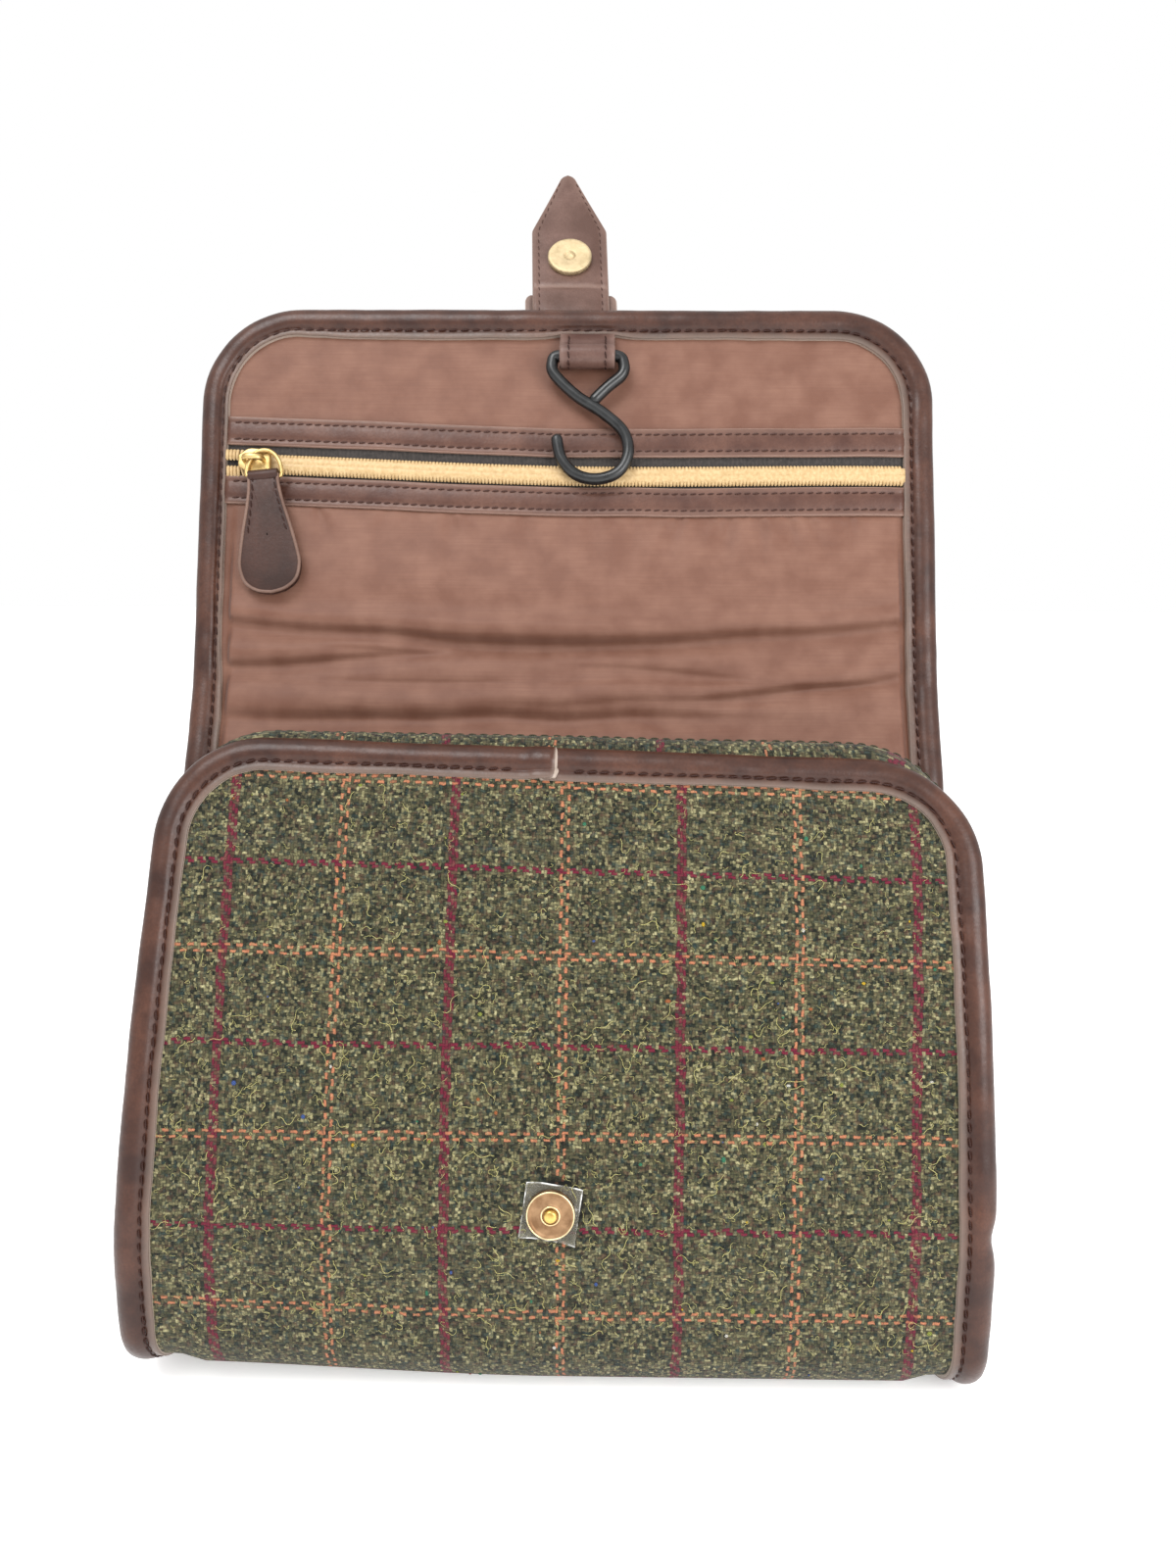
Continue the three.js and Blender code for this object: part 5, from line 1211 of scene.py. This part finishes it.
BAR_DOWN, BAR_OFF, LOOP_WIDTH, HOOK_WIRE = 16.8, 5.7, 19, 4.0
LOOP_INNER, LOOP_OUTER, LOOP_COLUMNS = 2.5, 4.1, 19
HOOK_WIDTH, HOOK_HEIGHT = 28, 47
HOOK_BENDS = [
    (0.05, 0.355), (0.25, 0.235), (0.43, 0.14), (0.45, 0.06), (0.37, 0), (0, 0), (-0.36, 0), (-0.43, 0.05),
    (-0.4, 0.14), (-0.13, 0.3), (0.2, 0.43), (0.45, 0.57), (0.51, 0.73), (0.39, 0.87), (0.13, 0.925),
    (-0.13, 0.89), (-0.31, 0.77), (-0.375, 0.59),
]


def hook_and_loop():
    """The s-hook about its bar, and the leather loop folded round that bar."""
    middle = flap_place(BAR_DOWN, LOOP_PLACE, LINING_DEPTH + BAR_OFF)
    bends = spline_through([(side * HOOK_WIDTH, -down * HOOK_HEIGHT, 0) for side, down in HOOK_BENDS], 12)
    path = resampled(bends, 0.7, ends=(0.15, 0.4, 0.8, 1.3))
    points, faces = capped_tube(path, HOOK_WIRE, 20)
    mesh_piece("hook_wire", middle.put(points), faces, black_plastic, "black_plastic", body="hook",
               node="s_hook")
    top = BAR_DOWN - INNER_LEG - GAP + LOOP_LIFT
    turn = np.linspace(-math.pi, 0.28 * math.pi, 26)
    columns = np.linspace(-1, 1, LOOP_COLUMNS)
    plies = 1.35 - LOOP_OUTER

    def ply(radius, gap):
        line = [(plies - gap, top), (plies - gap, 0.75 * top), (-radius, 0.3 * top)]
        line += [(radius * math.cos(a), radius * math.sin(a)) for a in turn]
        line += [(plies + gap, 0.75 * top), (plies + 0.6 * gap, top)]
        off, up = (part[:, None] + 0 * columns for part in np.array(line).T)
        return np.stack([0 * off + columns * LOOP_WIDTH / 2, up, off], -1)

    rim = 0.16 * np.cos(columns * math.pi / 2) ** 0.5
    front, back = ply(LOOP_OUTER, 1.3), ply(LOOP_INNER, 0.15)
    front[..., 2] += rim * np.sign(front[..., 2] + 1)
    from_side = (1 - np.abs(columns)) * LOOP_WIDTH / 2
    flat = side_by_side(np.arange(front.shape[0])[:, None] + 5.0, 0.55 + from_side)
    wall_piece("loop_leather", middle.put(front), middle.put(back), flat, loop_leather, "leatherette",
               node="hook_loop")
    rows = []
    for way in (-1, 1):
        line = front[10:, LOOP_COLUMNS // 2 + 6 * way] + (0, 0, 0.05)
        off = unit(np.column_stack([np.zeros(len(line)), line[:, 1], line[:, 2]]))
        off[line[:, 1] > 1.5] = (0, 0, 1)
        rows.append(stitches(middle.put(line), middle.put(line + off), 2.0, 2.8, 0.24, seed=71))
    mesh_piece("loop_stitches", *together(*rows), brown_thread, "leatherette")


STRAP_LAP, STRAP_LENGTH, STRAP_LEAN, STRAP_PLACE = 42, 69, 32, 1.3
STRAP_HALF, STRAP_UNDER, STRAP_BEND = 13.7, 1.8, 30
STRAP_STRAY, STRAP_CREASE, STRAP_SNAP_RISE = -2.4, 15.5, 28.2
STRAP_SLOPE, STRAP_ROUND = 0.435, 3.2
STRAP_THICKNESS, BASE_THICKNESS = 2.2, 1.4
BASE_RISE, BASE_HALF, BASE_CORNER = 13.5, 16.5, 2.5


def strap_middle(run):
    """The strap's middle across the bag: it leans a little to the left as it rises."""
    return STRAP_PLACE + STRAP_STRAY * np.maximum(0, (run - STRAP_LAP) / STRAP_LENGTH)


def base_half(run):
    """Half the width of the strap's base, its two upper corners rounded."""
    corner = np.clip(run - (STRAP_LAP + BASE_RISE - BASE_CORNER), 0, BASE_CORNER)
    return BASE_HALF - BASE_CORNER + np.sqrt(BASE_CORNER ** 2 - corner ** 2)


def strap_line(offset):
    """Side view of the strap: up behind the flap, then leaning further back."""
    start = sheet_points(LENGTH - STRAP_LAP, 0, -offset)[1:]
    angle = math.radians(90 - UPPER_LEAN)
    line = [start, start + STRAP_LAP * np.array([math.cos(angle), math.sin(angle)])]
    bend = math.radians(STRAP_LEAN - UPPER_LEAN)
    centre = line[-1] + STRAP_BEND * np.array([math.sin(angle), -math.cos(angle)])
    for step in np.linspace(0, bend, 16)[1:]:
        at = angle + math.pi / 2 - step
        line.append(centre + STRAP_BEND * np.array([math.cos(at), math.sin(at)]))
    angle -= bend
    rest = STRAP_LENGTH - STRAP_BEND * bend
    line.append(line[-1] + rest * np.array([math.cos(angle), math.sin(angle)]))
    return resampled(line, 0.8, ends=(0.1, 0.3, 0.55))


def strap_outline(to_tip):
    """Half the strap's width at a distance from its tip, a point with a small round end."""
    steepness = math.hypot(1, STRAP_SLOPE)
    rounded = np.sqrt(np.maximum(2 * STRAP_ROUND * to_tip - to_tip ** 2, 0.01))
    straight = STRAP_SLOPE * (to_tip + STRAP_ROUND * (steepness / STRAP_SLOPE - 1))
    leaves_round = STRAP_ROUND * (1 - STRAP_SLOPE / steepness)
    return np.minimum(np.where(to_tip < leaves_round, rounded, straight), STRAP_HALF)


def strap_sheet(under, half_of, section, total):
    """A strap with rounded edges: section gives shares of half its width with front and back heights."""
    line = strap_line(under)
    run = run_along(line)
    keep = run <= total
    line, run = line[keep], run[keep]
    ahead = unit(np.gradient(line, axis=0))
    off = np.stack([-ahead[:, 1], ahead[:, 0]], -1)
    half = half_of(run)
    shares, front, back = np.array(section).T
    across = strap_middle(run)[:, None] + half[:, None] * shares
    wave = 0.2 * lumps(across, run[:, None] + 0 * across, 16, 81)
    wave = wave - 0.45 * np.exp(-((run[:, None] - STRAP_LAP - STRAP_CREASE) / 0.9) ** 2)

    def face(height):
        height = height[None] + wave
        return np.stack([across, line[:, :1] + off[:, :1] * height, line[:, 1:] + off[:, 1:] * height], -1)

    flat = side_by_side(run[:, None], (1 - np.abs(shares)) * half[:, None])
    return face(front), face(back), flat


# The strap's section over its left half: share of the half width and height; the right half mirrors it
STRAP_HALF_SECTION = [
    (-1, -1.0), (-0.985, -0.35), (-0.95, -0.08), (-0.88, 0.0), (-0.82, -0.22), (-0.76, 0.0), (-0.6, 0.14),
    (-0.3, 0.2), (0, 0.22),
]


def strap_section(thickness, thinner):
    """Shares of the half width with front and back heights, the back drawn in at the two rims."""
    section = STRAP_HALF_SECTION + [(-share, high) for share, high in STRAP_HALF_SECTION[-2::-1]]
    return [(share, high, -thickness + (0 if abs(share) < 0.97 else thinner)) for share, high in section]


def closing_strap():
    """The strap behind the flap, its wider base, their stitches and the snap near its tip."""
    total = STRAP_LAP + STRAP_LENGTH
    front, back, flat = strap_sheet(STRAP_UNDER, lambda run: strap_outline(total - run),
                                    strap_section(STRAP_THICKNESS, 0.9), total)
    wall_piece("strap_leather", front, back, flat, strap_leather, "leatherette", node="closure_strap")
    front_base, back_base, flat = strap_sheet(STRAP_UNDER + STRAP_THICKNESS + GAP, base_half,
                                              strap_section(BASE_THICKNESS, 0.5), STRAP_LAP + BASE_RISE)
    wall_piece("strap_base_leather", front_base, back_base, flat, base_leather, "leatherette",
               node="strap_base")
    rows = []
    for column in (4, 12):
        line = front[4:-3, column]
        rows.append(stitches(line, line + (0, -1, 0.5), 2.1, 3.2, 0.17, seed=83))
        line = back_base[3:-3, column]
        rows.append(stitches(line, line + (0, 1, -0.3), 2.3, 3.2, 0.25, seed=84))
    mesh_piece("strap_stitches", *together(*rows), band_thread, "leatherette")
    line = strap_line(STRAP_UNDER)
    snap_at = STRAP_LAP + STRAP_SNAP_RISE
    spot, above = at_run([snap_at, snap_at + 1], run_along(line), line)
    middle = Place((strap_middle(snap_at), *spot), (1, 0, 0), (0, *(above - spot))).moved(0, 0, 0.3)
    mesh_piece("strap_snap_metal", *placed(lathe([
        (0, 0), (7.8, 0), (7.9, 0.3), (7.9, 1.5), (7.7, 1.85), (7.2, 2.0), (6.7, 1.98), (2.6, 1.9),
        (2.2, 1.8), (1.9, 1.5), (1.7, 1.0), (0.6, 0.85), (0, 0.85),
    ]), middle), pale_gold, "pale_gold_metal", node="strap_snap")


SNAP_DOWN, SNAP_ACROSS = 138, -0.5
FILM_HALF, FILM_REACH, FILM_TURN = 8.2, 9.84, -8


def front_snap():
    """The magnetic snap in brass and copper tones, over a curled square of clear film."""
    high, low = (sheet_points(SNAP_DOWN + off, SNAP_ACROSS, -GAP) for off in (-FILM_REACH, FILM_REACH))
    middle = Place((high + low) / 2, (1, 0, 0), high - low)
    middle_up = middle.moved(0, 0, 0.8)
    mesh_piece("front_snap_metal", *placed(lathe([
        (0, 0), (6.9, 0), (7, 0.2), (7, 1.7), (6.85, 2.05), (6.4, 2.15), (6.0, 2.05), (5.75, 1.85),
        (5.5, 1.8), (3.4, 1.8), (3.1, 1.9), (2.9, 2.1), (2.4, 1.9), (0, 1.9),
    ]), middle_up), copper_gold, "copper_gold_metal", node="front_snap")
    turn = full_turn(56)
    circle = np.column_stack([np.cos(turn), np.sin(turn), 0 * turn])
    # Rims of the snap: raised beads in the snap's metal, painted paler as a highlight
    rings = [tubes((circle * radius + (0, 0, height))[None], wire, 10, (0, 0, 1), closed=True)
             for radius, height, wire in ((6.75, 1.95, 0.24), (2.6, 2.1, 0.26))]
    mesh_piece("front_snap_rims", *placed(together(*rings), middle_up), rim_highlight_copper, "copper_gold_metal")
    mesh_piece("front_snap_pin", *placed(lathe([
        (0, 1.8), (1.95, 1.85), (1.95, 2.3), (1.85, 2.9), (1.6, 3.25), (1.2, 3.4), (0, 3.42),
    ]), middle_up), pin_gold, "copper_gold_metal")
    places = np.linspace(-FILM_HALF, FILM_HALF, 17)
    x, y = np.meshgrid(places, places)
    curl = 1.4 * (np.abs(x * y) / FILM_HALF ** 2) ** 3 + 0.3 * lumps(x, y, 4, 91)
    place = middle.moved(0, 0, 0.1, FILM_TURN)
    sheets = [place.put(np.stack([x, y, curl + z], -1)) for z in (0.28, 0.0)]
    from_edge = np.stack([FILM_HALF - np.abs(x), FILM_HALF - np.abs(y)], -1)
    wall_piece("snap_film_clear", *sheets, from_edge, film, "clear_film", node="snap_film")


MAIN_SLIDER_HEIGHT, MAIN_SLIDER_RISE = 116, 2.7
PULL_LIFT, PULL_EYE, PULL_REACH, PULL_THICKNESS = 34, 3.0, 16, 1.0


def main_slider():
    """The main zip's slider on the left side, its pull hanging from the bail."""
    left = slice(len(arch.run) // 2)
    over = GUSSET_WALL + GAP - MAIN_SLIDER_RISE
    line, under = (arch.line(0.0, depth)[left] for depth in (over, over + 1))
    spot, higher = at_run([MAIN_SLIDER_HEIGHT, MAIN_SLIDER_HEIGHT + 1], arch.height[left], line)
    below = at_run(MAIN_SLIDER_HEIGHT, arch.height[left], under)
    ahead, off = unit(higher - spot), unit(spot - below)
    place = Place(spot, ahead, np.cross(off, ahead))
    mesh_piece("main_slider_metal", *together(*[placed(part, place) for part in slider_parts()]), gold,
               "gold_metal", node="main_zip_slider")
    round_end = [(PULL_EYE * math.sin(a), PULL_EYE * math.cos(a)) for a in np.linspace(0, math.pi, 16)]
    far_end = [(-PULL_REACH - x, -y) for x, y in round_end]
    waist = [(-6, -2.3), (-10, -2.2)]
    outline = [*round_end, *waist, *far_end, *[(x, -y) for x, y in waist[::-1]]]
    points, faces = rounded_plate(outline, PULL_THICKNESS, 0.35)
    lift = math.radians(PULL_LIFT)
    x, z = points[:, 0].copy(), points[:, 2] - PULL_THICKNESS / 2
    points[:, 0] = x * math.cos(lift) + z * math.sin(lift)
    points[:, 2] = -x * math.sin(lift) + z * math.cos(lift)
    mesh_piece("main_pull_metal", place.moved(-3.3, 0, 4.53).put(points), faces, gold, "gold_metal",
               node="main_zip_pull")


HAIR_START, HAIR_INSET, TRIM_REACH = 8, 11, 12


def wool_hairs(name, count, length, radius, seed):
    """Stray hairs on the tweed: thin curling tubes along the cloth, a few of them standing off it."""
    rng = np.random.default_rng(seed)
    along = rng.uniform(HAIR_START, LENGTH - TRIM_REACH, count)
    under = (along > AT["front_run"]) & (along < AT["back_start"])
    along[under] -= AT["back_start"] - AT["front_run"]
    across = rng.uniform(-1, 1, count) * (half_width_at(along) - HAIR_INSET)
    heading, swing = rng.uniform(0, 2 * math.pi, (2, count, 1))
    reach = rng.uniform(*length, count)
    curl = rng.uniform(-3.4, 3.4, count)
    share = np.linspace(0, 1, 8)[None]
    turn = heading + curl[:, None] * share + 0.8 * np.sin(swing + 7 * share)
    step = reach[:, None] / 7
    path_along = along[:, None] + np.cumsum(np.cos(turn) * step, 1)
    path_across = across[:, None] + np.cumsum(np.sin(turn) * step, 1)
    lift = rng.uniform(0.1, 0.9, count)[:, None] ** 2 * np.sin(math.pi * share) + 0.1
    paths = sheet_points(path_along, path_across, -lift * 1.4)
    taper = radius * (1 - 0.5 * share ** 2) * np.ones((count, 1))
    away = unit(sheet_points(path_along, path_across, -9) - paths)
    mesh_piece(name, *tubes(paths, taper, 4, away), wool_hair, "tweed")


def wool_neps(tint, count, seed, material):
    """Small knots of dyed wool on the cloth."""
    rng = np.random.default_rng(seed)
    along = rng.uniform(TRIM_REACH, LENGTH - TRIM_REACH, count)
    across = rng.uniform(-1, 1, count) * (half_width_at(along) - TRIM_REACH)
    ball = lathe([(0, -0.3), (0.7, -0.2), (1.0, 0.1), (0.75, 0.4), (0, 0.5)], 6)
    origin = sheet_points(along, across, 0)
    off = unit(sheet_points(along, across, -1) - origin)
    right = np.broadcast_to([1.0, 0, 0], off.shape)
    up = unit(np.cross(off, right))
    size = rng.uniform(0.25, 0.7, count)[:, None, None]
    stretch = rng.uniform(0.7, 1.5, (count, 3, 1))
    mesh_piece("wool_neps_" + tint, *stamp(ball, origin, np.stack([right, up, off], 1) * size * stretch),
               material, "tweed")


flap_lining()
pocket_panel()
zip_bands()
pocket_zip()
pocket_slider()
hook_and_loop()
closing_strap()
front_snap()
main_slider()
wool_hairs("wool_hairs_short", 2900, (1.2, 3.6), 0.065, 101)
wool_hairs("wool_hairs_long", 620, (3, 9), 0.1, 102)
for seed, (tint, count, shade) in enumerate((
    ("yellow", 44, (214, 176, 40)), ("blue", 34, (70, 96, 160)), ("green", 44, (60, 130, 96)),
    ("white", 16, (226, 222, 210)), ("rust", 34, (176, 104, 58)), ("lime", 60, (150, 158, 70)),
)):
    shadow = tuple(0.7 * part for part in shade)
    wool_neps(tint, count, 110 + seed, thread_material("wool_nep_" + tint, color(*shadow), color(*shade)))


# Floor, light and camera

FLOOR_CORNERS = [(-6, -6, 0), (6, -6, 0), (6, 6, 0), (-6, 6, 0)]
PALE, WHITE = (0.985, 0.985, 0.985, 1), (1, 1, 1, 1)
LIGHTS = [("key_light", (-0.35, -0.55, 1.15), 0.6, 10), ("fill_light", (0.5, -0.55, 0.38), 0.4, 4.2)]
LIT_PLACE = Vector((0, 0, 0.17))


def stage():
    """A pale floor, white surroundings and two soft lights, in metres."""
    floor = bpy.data.meshes.new("floor")
    floor.from_pydata(FLOOR_CORNERS, [], [(0, 1, 2, 3)])
    g = Graph("pale_floor", Roughness=0.9, Specular_IOR_Level=0.1, Emission_Color=WHITE,
              Emission_Strength=0.35)
    floor.materials.append(g.finish(g.mix(g.noise(40, detail=2.0), PALE, WHITE)))
    plate = bpy.data.objects.new("floor", floor)
    bpy.context.scene.collection.objects.link(plate)
    world = bpy.data.worlds.new("soft_white")
    world.use_nodes = True
    background = world.node_tree.nodes["Background"].inputs
    background["Color"].default_value, background["Strength"].default_value = WHITE, 1.0
    bpy.context.scene.world = world
    for name, place, size, power in LIGHTS:
        light = bpy.data.lights.new(name, "AREA")
        light.size, light.energy = size, power
        lamp = bpy.data.objects.new(name, light)
        lamp.location = place
        lamp.rotation_euler = (LIT_PLACE - Vector(place)).to_track_quat("-Z", "Y").to_euler()
        bpy.context.scene.collection.objects.link(lamp)


CAMERA_PLACE, PITCH, YAW, ROLL = (13.2, -335.1, 244.4), 10.97, -0.70, 0.28
SENSOR, FOCAL_PIXELS, PICTURE_PIXELS = 36, 1155, 1600


def camera():
    pitch, yaw, roll = (math.radians(angle) for angle in (PITCH, YAW, ROLL))
    forward = Vector((math.sin(yaw) * math.cos(pitch), math.cos(yaw) * math.cos(pitch), -math.sin(pitch)))
    right = Vector((math.cos(yaw), -math.sin(yaw), 0))
    down = forward.cross(right)
    cos, sin = math.cos(roll), math.sin(roll)
    right, down = right * cos - down * sin, right * sin + down * cos
    data = bpy.data.cameras.new("photo_camera")
    data.sensor_width = SENSOR
    data.lens = SENSOR * FOCAL_PIXELS / PICTURE_PIXELS
    data.clip_start = 0.01
    seat = bpy.data.objects.new("photo_camera", data)
    turned = Matrix((right, -down, -forward)).transposed().to_4x4()
    seat.matrix_world = Matrix.Translation(Vector(CAMERA_PLACE) * MM) @ turned
    bpy.context.scene.collection.objects.link(seat)
    bpy.context.scene.camera = seat


stage()
camera()
bpy.context.scene.view_settings.view_transform = "Standard"
